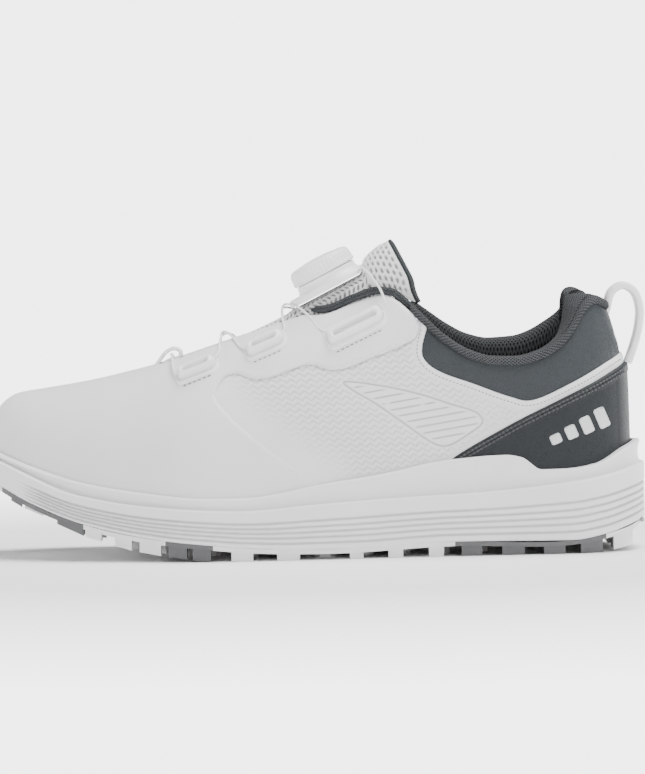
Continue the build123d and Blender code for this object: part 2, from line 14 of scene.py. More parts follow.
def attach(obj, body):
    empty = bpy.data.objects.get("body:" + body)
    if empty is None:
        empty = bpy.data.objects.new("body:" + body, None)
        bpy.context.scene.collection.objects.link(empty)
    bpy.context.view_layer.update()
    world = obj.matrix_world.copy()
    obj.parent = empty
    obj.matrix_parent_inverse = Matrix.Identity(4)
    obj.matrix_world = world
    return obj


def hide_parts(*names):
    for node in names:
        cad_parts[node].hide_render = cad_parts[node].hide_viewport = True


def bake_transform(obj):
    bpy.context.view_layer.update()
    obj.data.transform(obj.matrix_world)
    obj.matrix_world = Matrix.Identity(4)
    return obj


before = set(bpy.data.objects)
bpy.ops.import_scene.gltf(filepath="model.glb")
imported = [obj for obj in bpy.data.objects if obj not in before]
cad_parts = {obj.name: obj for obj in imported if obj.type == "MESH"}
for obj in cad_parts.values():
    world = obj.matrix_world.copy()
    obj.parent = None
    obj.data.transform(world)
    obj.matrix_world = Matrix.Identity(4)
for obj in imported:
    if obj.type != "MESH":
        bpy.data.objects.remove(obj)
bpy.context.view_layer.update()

MM = 0.001
LATERAL, MEDIAL = -1, 1
SIDES = ((LATERAL, "lateral"), (MEDIAL, "medial"))

# ---------------------------------------------------------------- the shoe's lines, as in the CAD
LENGTH = 301.0
SOLE_WALL = 4.5
SEAM_Y = 4.5
THROAT_Y = -1.0
LOW_REACH = 45.0            # how far |v| - 1 = 1 goes below the widest line
ROUND_UP, ROUND_OUT = 2 / 1.7, 2 / 2.1


def curve(pairs):
    """A curve through (x, value) pairs that never overshoots them, for arrays."""
    x, y = np.array(pairs, float).T
    gap = np.diff(x)
    slope = np.diff(y) / gap
    tangent = np.zeros(len(x))
    tangent[0], tangent[-1] = slope[0], slope[-1]
    for i in range(1, len(x) - 1):
        if slope[i - 1] * slope[i] > 0:
            w1, w2 = 2 * gap[i] + gap[i - 1], gap[i] + 2 * gap[i - 1]
            tangent[i] = (w1 + w2) / (w1 / slope[i - 1] + w2 / slope[i])

    def value(at):
        at = np.clip(np.asarray(at, float), x[0], x[-1])
        i = np.clip(np.searchsorted(x, at, side="right") - 1, 0, len(gap) - 1)
        t = (at - x[i]) / gap[i]
        return ((1 + 2 * t) * (1 - t) ** 2 * y[i] + t * (1 - t) ** 2 * gap[i] * tangent[i]
                + t * t * (3 - 2 * t) * y[i + 1] + t * t * (t - 1) * gap[i] * tangent[i + 1])
    return value


LATERAL_Y = curve([(0, 14), (0.1, -10), (0.2, -30), (0.3, -46), (0.4, -56), (0.5, -52),
                   (0.6, -44.5), (0.7, -40), (0.8, -36), (0.9, -23), (1, 5)])
MEDIAL_Y = curve([(0, 14), (0.1, 33), (0.2, 47.5), (0.3, 55), (0.4, 56), (0.5, 47),
                  (0.6, 42.5), (0.7, 44.5), (0.8, 44), (0.9, 32), (1, 5)])
RIDGE = curve([(0, 46), (0.04, 57), (0.08, 66), (0.115, 71), (0.14, 73.3), (0.2, 75.6),
               (0.26, 78.4), (0.313, 82.4), (0.346, 85.7), (0.38, 90.5), (0.42, 97), (0.48, 108),
               (0.54, 121), (0.6, 140), (0.66, 162), (0.74, 185), (0.85, 200), (1, 205)])
WIDEST = curve([(0, 44), (0.1, 42), (0.2, 36), (0.3, 32), (0.4, 30), (0.5, 36), (0.6, 42),
                (0.7, 46), (1, 50)])
HEEL_LEAN = curve([(20, 0.5), (40, -1.2), (50, -2.2), (62, -2.5), (78, -3), (84, -3.6), (90, -5.6),
                   (98, -8.6), (108, -11.3), (120, -15), (205, -40)])
SOLE_TOP = curve([(-150.5, 50), (-136.5, 44.5), (-103, 34.5), (-69, 29.5), (-48, 27.7), (-30, 27.7),
                  (-19, 28.7), (3, 32.8), (32, 37), (63, 42.7), (88.5, 44.3), (95, 43.3),
                  (104.5, 37.6), (116.5, 37.8), (130, 39.7), (144, 46.4), (150.5, 49)])
SOLE_RIDGE = curve([(-150.5, 48), (-136.5, 42), (-103, 29), (-69, 24), (-30, 22), (3, 24.3),
                    (40, 26.5), (75, 28), (109, 31), (130, 34), (150.5, 39)])
SOLE_BOTTOM = curve([(-150.5, 38.5), (-136.5, 31), (-124.5, 25), (-99.5, 16), (-62.5, 9), (-48, 7.5),
                     (-30, 5.8), (-4, 4.6), (18, 4.6), (64, 6.5), (116, 6), (130, 8),
                     (150.5, 14.5)])
FOOTBED = curve([(-150.5, 47), (-136, 39), (-120, 31.5), (-90, 22), (-60, 16.5), (-30, 14.5),
                 (0, 15.5), (30, 19), (60, 23), (90, 26), (120, 27.5), (150.5, 29)])
TOPLINE_POINTS = [(1, 107.5), (8, 108), (21, 113), (31, 115.9), (37, 115.2), (45, 109),
                  (52.5, 102), (61, 94.5), (71.5, 88), (82, 85), (92, 84.7), (102.5, 87),
                  (111.5, 92), (118, 99), (123, 107), (128, 111.2), (136, 108)]
TOPLINE = curve(TOPLINE_POINTS)
THROAT = curve([(-62, 0.5), (-58, 6), (-40, 9), (-19, 12), (1, 16), (21, 19), (36, 21), (60, 24)])


def outline(s, side, d):
    """x and y of the sole's outline moved out by d."""
    x = -(LENGTH / 2 + d) * np.cos(np.pi * s)
    shrink = np.minimum(1.0, 3.2 * np.sin(np.pi * s))
    y = np.where(side < 0, LATERAL_Y(s), MEDIAL_Y(s)) + side * d * shrink
    return x, y


def heel_lean(s, z):
    return HEEL_LEAN(z) * np.clip((s - 0.6) / 0.4, 0, 1)


def bare_upper(s, v):
    s, v = np.broadcast_arrays(np.asarray(s, float), np.asarray(v, float))
    _, lateral = outline(s, LATERAL, -SOLE_WALL)
    _, medial = outline(s, MEDIAL, -SOLE_WALL)
    middle = (lateral + medial) / 2
    angle = np.clip(1 - abs(v), 0, 1) * np.pi / 2
    widest, top = WIDEST(s), RIDGE(s)
    z = widest + (top - widest) * np.sin(angle) ** ROUND_UP - np.maximum(0, abs(v) - 1) * LOW_REACH
    edge = np.where(v < 0, lateral, medial)
    y = middle + (edge - middle) * np.abs(np.cos(angle)) ** ROUND_OUT
    x = outline(s, 1, -SOLE_WALL)[0] + heel_lean(s, z)
    return np.stack([x, y, z], -1)


def upper(s, v, d=0.0):
    """Points of the upper's outside, moved out by d along its normals."""
    s, v = np.broadcast_arrays(np.asarray(s, float), np.asarray(v, float))
    step = 0.002
    at_s = np.clip(s, step, 1 - step)
    along = bare_upper(at_s + step, v) - bare_upper(at_s - step, v)
    across = bare_upper(at_s, v + step) - bare_upper(at_s, v - step)
    normal = np.cross(along, across)
    normal /= np.maximum(np.linalg.norm(normal, axis=-1, keepdims=True), 1e-9)
    return bare_upper(s, v) + normal * np.asarray(d, float)[..., None], normal


def v_at(s, side, z):
    """The v of the upper at height z."""
    widest, top = WIDEST(s), RIDGE(s)
    rise = np.clip((z - widest) / (top - widest), 0, 1)
    climb = np.arcsin(rise ** (1 / ROUND_UP)) / (np.pi / 2)
    return side * (1 - climb + np.maximum(0, widest - z) / LOW_REACH)


def seen_at(x, z, side):
    """s and v of the upper at a place in the side view."""
    x, z = np.asarray(x, float), np.asarray(z, float)
    s = np.full(np.broadcast(x, z).shape, 0.5)
    for _ in range(5):
        reach = (x - heel_lean(s, z)) / (LENGTH / 2 - SOLE_WALL)
        s = np.arccos(np.clip(-reach, -1, 1)) / np.pi
    return s, v_at(s, side, z)


def on_upper(x, z, side, d=0.0):
    s, v = seen_at(x, z, side)
    return upper(s, v, d)


# ---------------------------------------------------------------- outlines and mesh work
def smooth_line(points, closed=False, step=1.0):
    """Points of a centripetal Catmull-Rom curve through the given ones, about a step apart."""
    p = np.array(points, float)
    if closed:
        p = np.vstack([p[-1], p, p[0], p[1]])
    else:
        p = np.vstack([2 * p[0] - p[1], p, 2 * p[-1] - p[-2]])
    found = []
    for a, b, c, d in zip(p, p[1:], p[2:], p[3:]):
        k0 = 0.0
        k1 = k0 + max(1e-6, np.linalg.norm(b - a) ** 0.5)
        k2 = k1 + max(1e-6, np.linalg.norm(c - b) ** 0.5)
        k3 = k2 + max(1e-6, np.linalg.norm(d - c) ** 0.5)
        count = max(2, int(np.linalg.norm(c - b) / step))
        t = np.linspace(k1, k2, count, endpoint=False)[:, None]
        a1 = (k1 - t) / (k1 - k0) * a + (t - k0) / (k1 - k0) * b
        a2 = (k2 - t) / (k2 - k1) * b + (t - k1) / (k2 - k1) * c
        a3 = (k3 - t) / (k3 - k2) * c + (t - k2) / (k3 - k2) * d
        b1 = (k2 - t) / (k2 - k0) * a1 + (t - k0) / (k2 - k0) * a2
        b2 = (k3 - t) / (k3 - k1) * a2 + (t - k1) / (k3 - k1) * a3
        found.append((k2 - t) / (k2 - k1) * b1 + (t - k1) / (k2 - k1) * b2)
    if not closed:
        found.append(p[-2][None])
    return np.vstack(found)


def edge_distance(points, line, closed=True):
    """The distance from each point to a line of points."""
    ends = np.roll(line, -1, 0) if closed else line[1:]
    starts = line if closed else line[:-1]
    best = np.full(len(points), 1e9)
    for a, b in zip(starts, ends):
        run = b - a
        t = np.clip(((points - a) @ run) / max(run @ run, 1e-12), 0, 1)
        best = np.minimum(best, ((points - a - t[:, None] * run) ** 2).sum(1))
    return np.sqrt(best)


def inside_distance(points, loop):
    """Distance to a closed outline: positive inside, negative outside."""
    x, y = points[:, 0], points[:, 1]
    inside = np.zeros(len(points), bool)
    for (ax, ay), (bx, by) in zip(loop, np.roll(loop, -1, 0)):
        crosses = (ay > y) != (by > y)
        with np.errstate(divide="ignore", invalid="ignore"):
            inside ^= crosses & (x < (bx - ax) * (y - ay) / (by - ay) + ax)
    return np.where(inside, 1, -1) * edge_distance(points, loop)


def grid(first, second):
    """Parameters and four-sided faces of a grid."""
    a, b = np.meshgrid(first, second, indexing="ij")
    index = np.arange(a.size).reshape(a.shape)
    faces = np.stack([index[:-1, :-1], index[1:, :-1], index[1:, 1:], index[:-1, 1:]], -1)
    return np.stack([a.ravel(), b.ravel()], 1), [list(f) for f in faces.reshape(-1, 4)]


def cut(params, faces, field):
    """Cuts the faces along field = 0 and keeps the part above it."""
    value = field(params)
    value[np.abs(value) < 1e-7] = 1e-7
    added, made, kept = [], {}, []
    count = len(params)

    def crossing(i, j):
        key = (min(i, j), max(i, j))
        if key not in made:
            t = value[i] / (value[i] - value[j])
            made[key] = count + len(added)
            added.append(params[i] + t * (params[j] - params[i]))
        return made[key]

    positive = value > 0
    for face in faces:
        signs = [positive[i] for i in face]
        if all(signs):
            kept.append(face)
            continue
        if not any(signs):
            continue
        high = []
        for i, j in zip(face, face[1:] + face[:1]):
            if positive[i]:
                high.append(i)
            if positive[i] != positive[j]:
                high.append(crossing(i, j))
        kept.append(high)
    params = np.vstack([params, np.array(added)]) if added else params
    used = np.unique(np.concatenate([np.array(f) for f in kept]))
    renumber = np.full(len(params), -1)
    renumber[used] = np.arange(len(used))
    return params[used], [[int(renumber[i]) for i in f] for f in kept]


def rounded(depth, radius, height):
    """The height of a panel at a depth inside its edge, with a rounded edge."""
    t = np.clip(1 - depth / radius, 0, 1)
    return height * np.sqrt(1 - t * t)


def closed_shell(top, bottom, faces):
    """A solid between two copies of an open patch."""
    count = len(top)
    edges = {}
    for face in faces:
        for i, j in zip(face, face[1:] + face[:1]):
            edges[(i, j)] = True
    rim = [(i, j) for i, j in edges if (j, i) not in edges]
    sides = [[j, i, i + count, j + count] for i, j in rim]
    under = [[i + count for i in reversed(face)] for face in faces]
    return np.vstack([top, bottom]), faces + under + sides


def add_mesh(name, points, faces, material, smooth_angle=50, uv=None):
    """A mesh object from points in millimetres."""
    mesh = bpy.data.meshes.new(name)
    mesh.from_pydata((np.asarray(points) * MM).tolist(), [], faces)
    mesh.validate()
    mesh.shade_smooth()
    if smooth_angle:
        mesh.set_sharp_from_angle(angle=math.radians(smooth_angle))
    if uv is not None:
        layer = mesh.uv_layers.new(name="uv")
        corner = np.zeros(len(mesh.loops), np.int32)
        mesh.loops.foreach_get("vertex_index", corner)
        layer.data.foreach_set("uv", np.asarray(uv, np.float32)[corner].ravel())
    mesh.materials.append(material)
    piece = bpy.data.objects.new(name, mesh)
    bpy.context.scene.collection.objects.link(piece)
    return piece


def add_value(piece, name, values):
    """A number at every vertex, for the material to read."""
    layer = piece.data.attributes.new(name, "FLOAT", "POINT")
    layer.data.foreach_set("value", np.asarray(values, np.float32))


def finish_piece(piece, body, slot, *nodes):
    """Puts a piece on its body, in place of the CAD nodes named, which it hides; the slot is not
    used.
    """
    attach(piece, body)
    if nodes:
        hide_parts(*nodes)
    return piece


def ring_faces(stations, n):
    """Faces between stations rings of n points each, with a cap on each end."""
    faces = [[k * n + i, k * n + (i + 1) % n, (k + 1) * n + (i + 1) % n, (k + 1) * n + i]
             for k in range(stations - 1) for i in range(n)]
    faces.append(list(range(n))[::-1])
    faces.append([(stations - 1) * n + i for i in range(n)])
    return faces


def tube(path, radius, sides=12):
    """Points and faces of a round tube along a line of points, with its ends closed."""
    path = np.asarray(path, float)
    radius = np.broadcast_to(np.asarray(radius, float), len(path))
    along = np.gradient(path, axis=0)
    along /= np.linalg.norm(along, axis=1, keepdims=True)
    side = np.cross(along[0], (0.0, 0.0, 1.0))
    if np.linalg.norm(side) < 0.1:
        side = np.cross(along[0], (0.0, 1.0, 0.0))
    rings = []
    for centre, direction, r in zip(path, along, radius):
        side = side - direction * (side @ direction)
        side /= np.linalg.norm(side)
        up = np.cross(direction, side)
        angle = np.arange(sides) * 2 * np.pi / sides
        rings.append(centre + r * (np.cos(angle)[:, None] * side + np.sin(angle)[:, None] * up))
    return np.vstack(rings), ring_faces(len(path), sides)


def joined(shapes):
    """Several (points, faces) pairs as one."""
    points, faces, start = [], [], 0
    for p, f in shapes:
        points.append(p)
        faces += [[i + start for i in face] for face in f]
        start += len(p)
    return np.vstack(points), faces


def run_along(line):
    """The distance from a line's start to each of its points."""
    return np.concatenate([[0], np.cumsum(np.linalg.norm(np.diff(line, axis=0), axis=1))])


def spaced(line, step):
    """Points along a line at an even step."""
    run = run_along(line)
    count = max(2, int(run[-1] / step))
    at = np.linspace(0, run[-1], count)
    return np.stack([np.interp(at, run, line[:, k]) for k in range(line.shape[1])], 1)


def stitches(line, normals, pitch=2.4, length=1.7, radius=0.28, lift=0.1):
    """A row of thread stitches along a line on a surface."""
    run = run_along(line)
    shapes = []
    for start in np.arange(0.4, run[-1] - length, pitch):
        at = start + np.linspace(0, 1, 6) * length
        centre = np.stack([np.interp(at, run, line[:, k]) for k in range(3)], 1)
        normal = np.stack([np.interp(at, run, normals[:, k]) for k in range(3)], 1)
        arch = np.sin(np.linspace(0, np.pi, 6))[:, None]
        shapes.append(tube(centre + normal * (lift - 0.45 * radius + arch * 0.6 * radius),
                           radius * (0.55 + 0.45 * arch[:, 0]), 8))
    return joined(shapes)


# ---------------------------------------------------------------- finishes
RANGE_SOCKETS = ("From Min", "From Max", "To Min", "To Max")


class Finish:
    """A node material being put together. Sizes are in millimetres on the piece."""

    def __init__(self, name, uv=False, **shader):
        self.made = bpy.data.materials.new(name)
        self.made.use_nodes = True
        self.tree = self.made.node_tree
        self.tree.nodes.clear()
        self.shader = self.add("ShaderNodeBsdfPrincipled", **shader)
        self.add("ShaderNodeOutputMaterial", Surface=self.shader.outputs["BSDF"])
        coordinates = self.add("ShaderNodeTexCoord")
        self.place = coordinates.outputs["UV" if uv else "Object"]
        self.unit = 1.0 if uv else 1000.0

    def feed(self, socket, value):
        """Links a socket to another one, or sets its plain value."""
        if isinstance(value, bpy.types.NodeSocket):
            self.tree.links.new(value, socket)
        else:
            socket.default_value = value

    def add(self, kind, settings=None, **inputs):
        node = self.tree.nodes.new(kind)
        for key, value in (settings or {}).items():
            setattr(node, key, value)
        for key, value in inputs.items():
            self.feed(node.inputs[key.replace("_", " ")], value)
        return node

    def noise(self, size, detail=3.0):
        return self.add("ShaderNodeTexNoise", Vector=self.place, Scale=self.unit / size,
                        Detail=detail).outputs["Fac"]

    def cells(self, size, feature="F1"):
        return self.add("ShaderNodeTexVoronoi", {"feature": feature}, Vector=self.place,
                        Scale=self.unit / size).outputs["Distance"]

    def math(self, operation, a, b=0.0):
        node = self.add("ShaderNodeMath", {"operation": operation})
        self.feed(node.inputs[0], a)
        self.feed(node.inputs[1], b)
        return node.outputs[0]

    def attribute(self, name):
        return self.add("ShaderNodeAttribute", {"attribute_name": name}).outputs["Fac"]

    def ripple(self, axis, period, shift=0.0):
        """A wave of that period along one axis, from -1 to 1."""
        parts = self.add("ShaderNodeSeparateXYZ", Vector=self.place)
        turn = self.math("MULTIPLY", parts.outputs[axis], 2 * math.pi * self.unit / period)
        return self.math("SINE", self.math("ADD", turn, shift))

    def between(self, fac, low, high, start=0.0, end=1.0):
        """A value that goes from low to high as fac goes from start to end."""
        node = self.add("ShaderNodeMapRange", Value=fac)
        for name, value in zip(RANGE_SOCKETS, (start, end, low, high)):
            node.inputs[name].default_value = value
        return node.outputs[0]

    def blended(self, fac, low, high):
        node = self.add("ShaderNodeMix", {"data_type": "RGBA"})
        self.tree.links.new(fac, node.inputs[0])
        for socket, value in ((node.inputs[6], low), (node.inputs[7], high)):
            self.feed(socket, (*value, 1) if isinstance(value, tuple) else value)
        return node.outputs[2]

    def coloured(self, value):
        self.tree.links.new(value, self.shader.inputs["Base Color"])
        return self

    def rough(self, value):
        self.tree.links.new(value, self.shader.inputs["Roughness"])
        return self

    def bumped(self, *layers):
        """Bump from (height, depth in millimetres) pairs, the first one deepest."""
        normal = None
        for height, depth in layers:
            bump = self.add("ShaderNodeBump", Height=height, Strength=1.0, Distance=depth * MM)
            if normal is not None:
                self.tree.links.new(normal, bump.inputs["Normal"])
            normal = bump.outputs["Normal"]
        self.tree.links.new(normal, self.shader.inputs["Normal"])
        return self


def soft_white(name, tone, grain, depth, roughness=0.55, **shader):
    """Smooth coated leather or foam: a fine grain, faint clouding, and painted shade in sunk places.
    """
    finish = Finish(name, Roughness=roughness, **shader)
    cloud = finish.between(finish.noise(26, 2), 0, 1, 0.35, 0.65)
    low = tuple(0.965 * c for c in tone)
    # Painted shade: sunk places take this darker copy of the tone, mixed in by the attribute.
    sunk_and_painted_shade = tuple(0.34 * c for c in tone)
    finish.coloured(finish.blended(finish.attribute("sunk_and_painted_shade"), finish.blended(cloud, low, tone),
                                   sunk_and_painted_shade))
    fine = finish.noise(grain, 4)
    finish.rough(finish.between(fine, roughness - 0.06, roughness + 0.06, 0.3, 0.7))
    finish.bumped((fine, depth))
    return finish.made


def grained_leather(name, low, high, size=1.1, depth=0.10, roughness=0.46):
    """Pebbled leather: rounded grains with darker creases between them."""
    finish = Finish(name, Roughness=roughness, Specular_IOR_Level=0.24)
    pebble = finish.cells(size, "DISTANCE_TO_EDGE")
    raised = finish.between(pebble, 0, 1, 0.0, 0.22)
    tone = finish.math("MULTIPLY", raised, finish.between(finish.noise(14, 2), 0.75, 1.0))
    finish.coloured(finish.blended(tone, low, high))
    finish.rough(finish.between(raised, roughness + 0.12, roughness))
    finish.bumped((raised, depth), (finish.noise(0.35, 2), 0.03))
    return finish.made


def knitted(name, low, high, across=1.5, along=1.15, hole=0.6):
    """Knit cloth by its UV in millimetres: staggered small holes between threads, darkened with
    painted shade.
    """
    finish = Finish(name, uv=True, Roughness=0.9, Specular_IOR_Level=0.08)
    wave_a = finish.ripple("X", 2 * across)
    wave_b = finish.ripple("Y", 2 * along)
    staggered = finish.math("ADD", wave_a, wave_b)
    ribbed = finish.math("SUBTRACT", wave_a, wave_b)
    cell = finish.math("MULTIPLY", staggered, ribbed)
    near = finish.math("ABSOLUTE", cell)
    holes = finish.between(near, 0, 1, 0.95 - 0.5 * hole, 1.0)
    strand = finish.between(finish.noise(0.45, 2), 0, 1, 0.3, 0.7)
    cloth = finish.blended(strand, low, high)
    # Painted shade: the holes take a far darker copy of the cloth's low tone.
    dark = tuple(0.12 * c for c in low)
    finish.coloured(finish.blended(holes, cloth, dark))
    finish.bumped((finish.math("MULTIPLY", holes, -1.0), 0.35), (strand, 0.05))
    return finish.made


def moulded(name, shade, roughness, grain=0.5, depth=0.012, **shader):
    """Moulded plastic or rubber with a faint surface texture, and painted shade mixed in by a vertex
    attribute.
    """
    finish = Finish(name, Roughness=roughness, **shader)
    low = tuple(0.93 * c for c in shade)
    # Painted shade: a darker copy of the colour for slots, grooves and the feet of blocks.
    sunk_and_painted_shade = tuple(0.45 * c for c in shade)
    surface = finish.blended(finish.between(finish.noise(9, 3), 0, 1, 0.3, 0.7), low, shade)
    finish.coloured(finish.blended(finish.attribute("sunk_and_painted_shade"), surface, sunk_and_painted_shade))
    finish.rough(finish.between(finish.noise(4, 3), roughness - 0.07, roughness + 0.07, 0.3, 0.7))
    finish.bumped((finish.noise(grain, 3), depth))
    return finish.made


def threads(name, low, high):
    """Twisted thread."""
    finish = Finish(name, Roughness=0.7, Sheen_Weight=0.2)
    finish.coloured(finish.blended(finish.noise(0.35, 2), low, high))
    finish.bumped((finish.noise(0.25, 2), 0.05))
    return finish.made


def spacer_mesh(name, low, high):
    """White spacer mesh: woven threads, with the hole attribute shading its open cells."""
    finish = Finish(name, uv=True, Roughness=0.8, Sheen_Weight=0.2)
    weave = finish.math("MULTIPLY", finish.ripple("X", 0.75), finish.ripple("Y", 0.75))
    cloth = finish.blended(finish.between(weave, 0, 1, -1, 1), low, high)
    open_cell = (0.22, 0.225, 0.23)
    finish.coloured(finish.blended(finish.attribute("hole"), cloth, open_cell))
    finish.bumped((weave, 0.08), (finish.noise(0.4, 2), 0.03))
    return finish.made


def metal(name, shade, roughness):
    """Plain metal."""
    finish = Finish(name, Roughness=roughness, Metallic=1.0)
    low = tuple(0.85 * c for c in shade)
    finish.coloured(finish.blended(finish.noise(3, 3), low, shade))
    finish.bumped((finish.noise(0.4, 2), 0.005))
    return finish.made


WHITE = (0.72, 0.725, 0.73)
SLATE = (0.031, 0.036, 0.040)
VAMP_WHITE = soft_white("vamp_white", WHITE, 0.55, 0.020, 0.5)
QUARTER_WHITE = soft_white("quarter_white", WHITE, 0.4, 0.018, 0.55)
STRAP_WHITE = soft_white("strap_white", (0.80, 0.80, 0.79), 0.5, 0.03, 0.45,
                         Subsurface_Weight=0.15, Subsurface_Scale=0.002)
MIDSOLE_WHITE = soft_white("midsole_white", (0.76, 0.765, 0.77), 0.9, 0.012, 0.48)
LEATHER = grained_leather("collar_leather", (0.024, 0.028, 0.031), SLATE, 1.0, 0.07)
OVERLAY_LEATHER = grained_leather("heel_leather", (0.012, 0.014, 0.016), (0.017, 0.020, 0.023),
                                0.9, 0.04, 0.5)
KNIT = knitted("collar_knit", (0.043, 0.046, 0.048), (0.080, 0.083, 0.087), 1.7, 1.4, 1.15)
BINDING = knitted("binding_knit", (0.040, 0.043, 0.045), (0.072, 0.076, 0.080), 1.5, 1.2, 1.0)
SOCK = knitted("sockliner_knit", (0.07, 0.073, 0.076), (0.16, 0.165, 0.17), 0.9, 0.9, 0.3)
GUSSET = knitted("gusset_mesh", (0.50, 0.50, 0.50), (0.72, 0.72, 0.72), 1.3, 1.3, 0.4)
TONGUE_MESH = spacer_mesh("tongue_mesh_white", (0.62, 0.62, 0.62), (0.86, 0.86, 0.86))
GUIDE_WHITE = moulded("guide_white", (0.84, 0.84, 0.84), 0.42, Coat_Weight=0.1)
DIAL_WHITE = moulded("dial_white", (0.82, 0.82, 0.82), 0.4, Coat_Weight=0.1)
DIAL_GRIP = moulded("dial_grip", (0.80, 0.80, 0.81), 0.5)
MECHANISM = moulded("mechanism", (0.16, 0.165, 0.17), 0.5)
SOLE_RUBBER = moulded("sole_rubber", (0.80, 0.80, 0.79), 0.5, 0.7, 0.02)
GREY_RUBBER = moulded("grey_rubber", (0.10, 0.102, 0.105), 0.55, 0.7, 0.02)
BADGE = moulded("badge_grey", (0.50, 0.51, 0.52), 0.3, Metallic=0.35)
BOARD = moulded("board", (0.55, 0.54, 0.50), 0.8, 0.6, 0.05)
SHANK = moulded("shank", (0.10, 0.10, 0.11), 0.45, 0.6, 0.03)
FOAM = moulded("foam", (0.62, 0.62, 0.60), 0.9, 0.5, 0.1)
STEEL = metal("steel", (0.62, 0.62, 0.63), 0.3)
WHITE_THREAD = threads("white_thread", (0.60, 0.60, 0.60), (0.84, 0.84, 0.84))
GREY_THREAD = threads("grey_thread", (0.06, 0.06, 0.063), (0.22, 0.22, 0.225))
DARK_THREAD = threads("dark_thread", (0.012, 0.013, 0.014), (0.055, 0.057, 0.06))
LACE = threads("lace_cord", (0.66, 0.66, 0.67), (0.86, 0.86, 0.87))

# The finish of each CAD node that is shown as it is.
NODE_FINISH = {
    "outsole_plate": SOLE_RUBBER, "toe_grip_insert": GREY_RUBBER, "ball_grip_insert": GREY_RUBBER,
    "heel_grip_insert": GREY_RUBBER, "shank_plate": SHANK, "insole_board": BOARD,
    "heel_counter": BOARD, "toe_puff": BOARD, "collar_foam": FOAM, "tongue_foam": FOAM,
    "ratchet_ring": MECHANISM, "lift_sleeve": MECHANISM, "pawl_disc": MECHANISM,
    "lace_spool": MECHANISM, "dial_axle": STEEL, "detent_spring": STEEL, "knob_core": DIAL_WHITE,
}
for node_name, finish_used in NODE_FINISH.items():
    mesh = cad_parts[node_name].data
    mesh.materials.clear()
    mesh.materials.append(finish_used)


# ---------------------------------------------------------------- the upper's panels
def step_up(value, start, end):
    """A smooth rise from 0 at start to 1 at end."""
    t = np.clip((value - start) / (end - start), 0, 1)
    return t * t * (3 - 2 * t)


def loop_of(line, corners):
    """A smooth line closed by straight runs through the corners."""
    return np.vstack([smooth_line(line), np.array(corners, float)])


VAMP_SEAM = [(3, 34), (-11, 44), (-18.5, 49.5), (-27.5, 57), (-35, 64), (-41.5, 73)]
EYESTAY_FOOT = [(-37.5, 80.5), (-32, 81.7), (-24, 79.2), (-16, 80.2), (0, 85.3), (9, 82.9),
                (15, 83.1), (30, 88.5), (42, 93), (47.5, 96.5), (49.5, 101.5)]
COLLAR_SEAM = [(52.7, 101), (50.5, 93), (50.6, 88.6), (53.4, 84.8), (58.2, 81.6), (73.5, 75.8),
               (88.7, 70.1), (97.5, 68.1), (116.5, 75.5), (139, 87.4), (160, 99)]
HEEL_OVERLAY_TOP = [(60, 40), (63, 43), (88.5, 57.4), (109.5, 67.5), (126.5, 75.5), (143, 84.3),
                    (160, 93)]
WINDOW = [(15.3, 77.6), (33.6, 75.5), (50.9, 71.2), (62, 67.4), (74.8, 62.6), (76.6, 59),
          (69.9, 53.5), (61, 48.8), (56, 49.4), (39.7, 60.6), (28.5, 68.6), (18.9, 74.4)]
THROAT_POINTS = [(-62, 0.5), (-60, 4), (-58, 6), (-40, 9), (-19, 12), (1, 16), (21, 19),
                 (36, 21), (60, 24)]

VAMP_LOOP = loop_of([(12, 26)] + VAMP_SEAM + EYESTAY_FOOT,
                    [(46.5, 108.5), (44, 150), (-190, 150), (-190, -30), (12, -30)])
BEHIND_VAMP = loop_of([(12, 26)] + VAMP_SEAM + EYESTAY_FOOT,
                      [(49.5, 150), (190, 150), (190, -30), (12, -30)])
TOP_LOOP = loop_of(TOPLINE_POINTS + [(150, 107)],
                   [(190, 108), (190, -30), (-190, -30), (-190, 150), (1, 150)])
COLLAR_LOOP = loop_of(COLLAR_SEAM, [(190, 99), (190, 150), (52.7, 150)])
OVERLAY_LOOP = loop_of(HEEL_OVERLAY_TOP, [(190, 93), (190, -30), (60, -30)])
WINDOW_LOOP = smooth_line(WINDOW, closed=True)
THROAT_LOOP = np.vstack([[(x, THROAT_Y - half) for x, half in THROAT_POINTS],
                         [(x, THROAT_Y + half) for x, half in THROAT_POINTS[::-1]]])


def over_top(params):
    """s and v of the grid that goes over the top of the shoe."""
    return params[:, 0], params[:, 1]


FRONT_SHARE = 0.28


def round_heel(params):
    """s and v of the grid that goes round the heel: share round from the lateral front, height."""
    around, z = params[:, 0], params[:, 1]
    s = 1 - abs(around) * (1 - FRONT_SHARE)
    return s, v_at(s, np.where(around < 0, LATERAL, MEDIAL), z)


def seen(place, params):
    """x, y and z of a grid's points on the upper."""
    return bare_upper(*place(params)).T


def skirted(top, under, faces):
    """A panel: its outside, and a skirt down from its rim."""
    edges = {(i, j) for face in faces for i, j in zip(face, face[1:] + face[:1])}
    rim = [(i, j) for i, j in edges if (j, i) not in edges]
    turned_in = {i: len(top) + k for k, i in enumerate(sorted({i for pair in rim for i in pair}))}
    sides = [[j, i, turned_in[i], turned_in[j]] for i, j in rim]
    return np.vstack([top, under[sorted(turned_in)]]), faces + sides, sorted(turned_in)


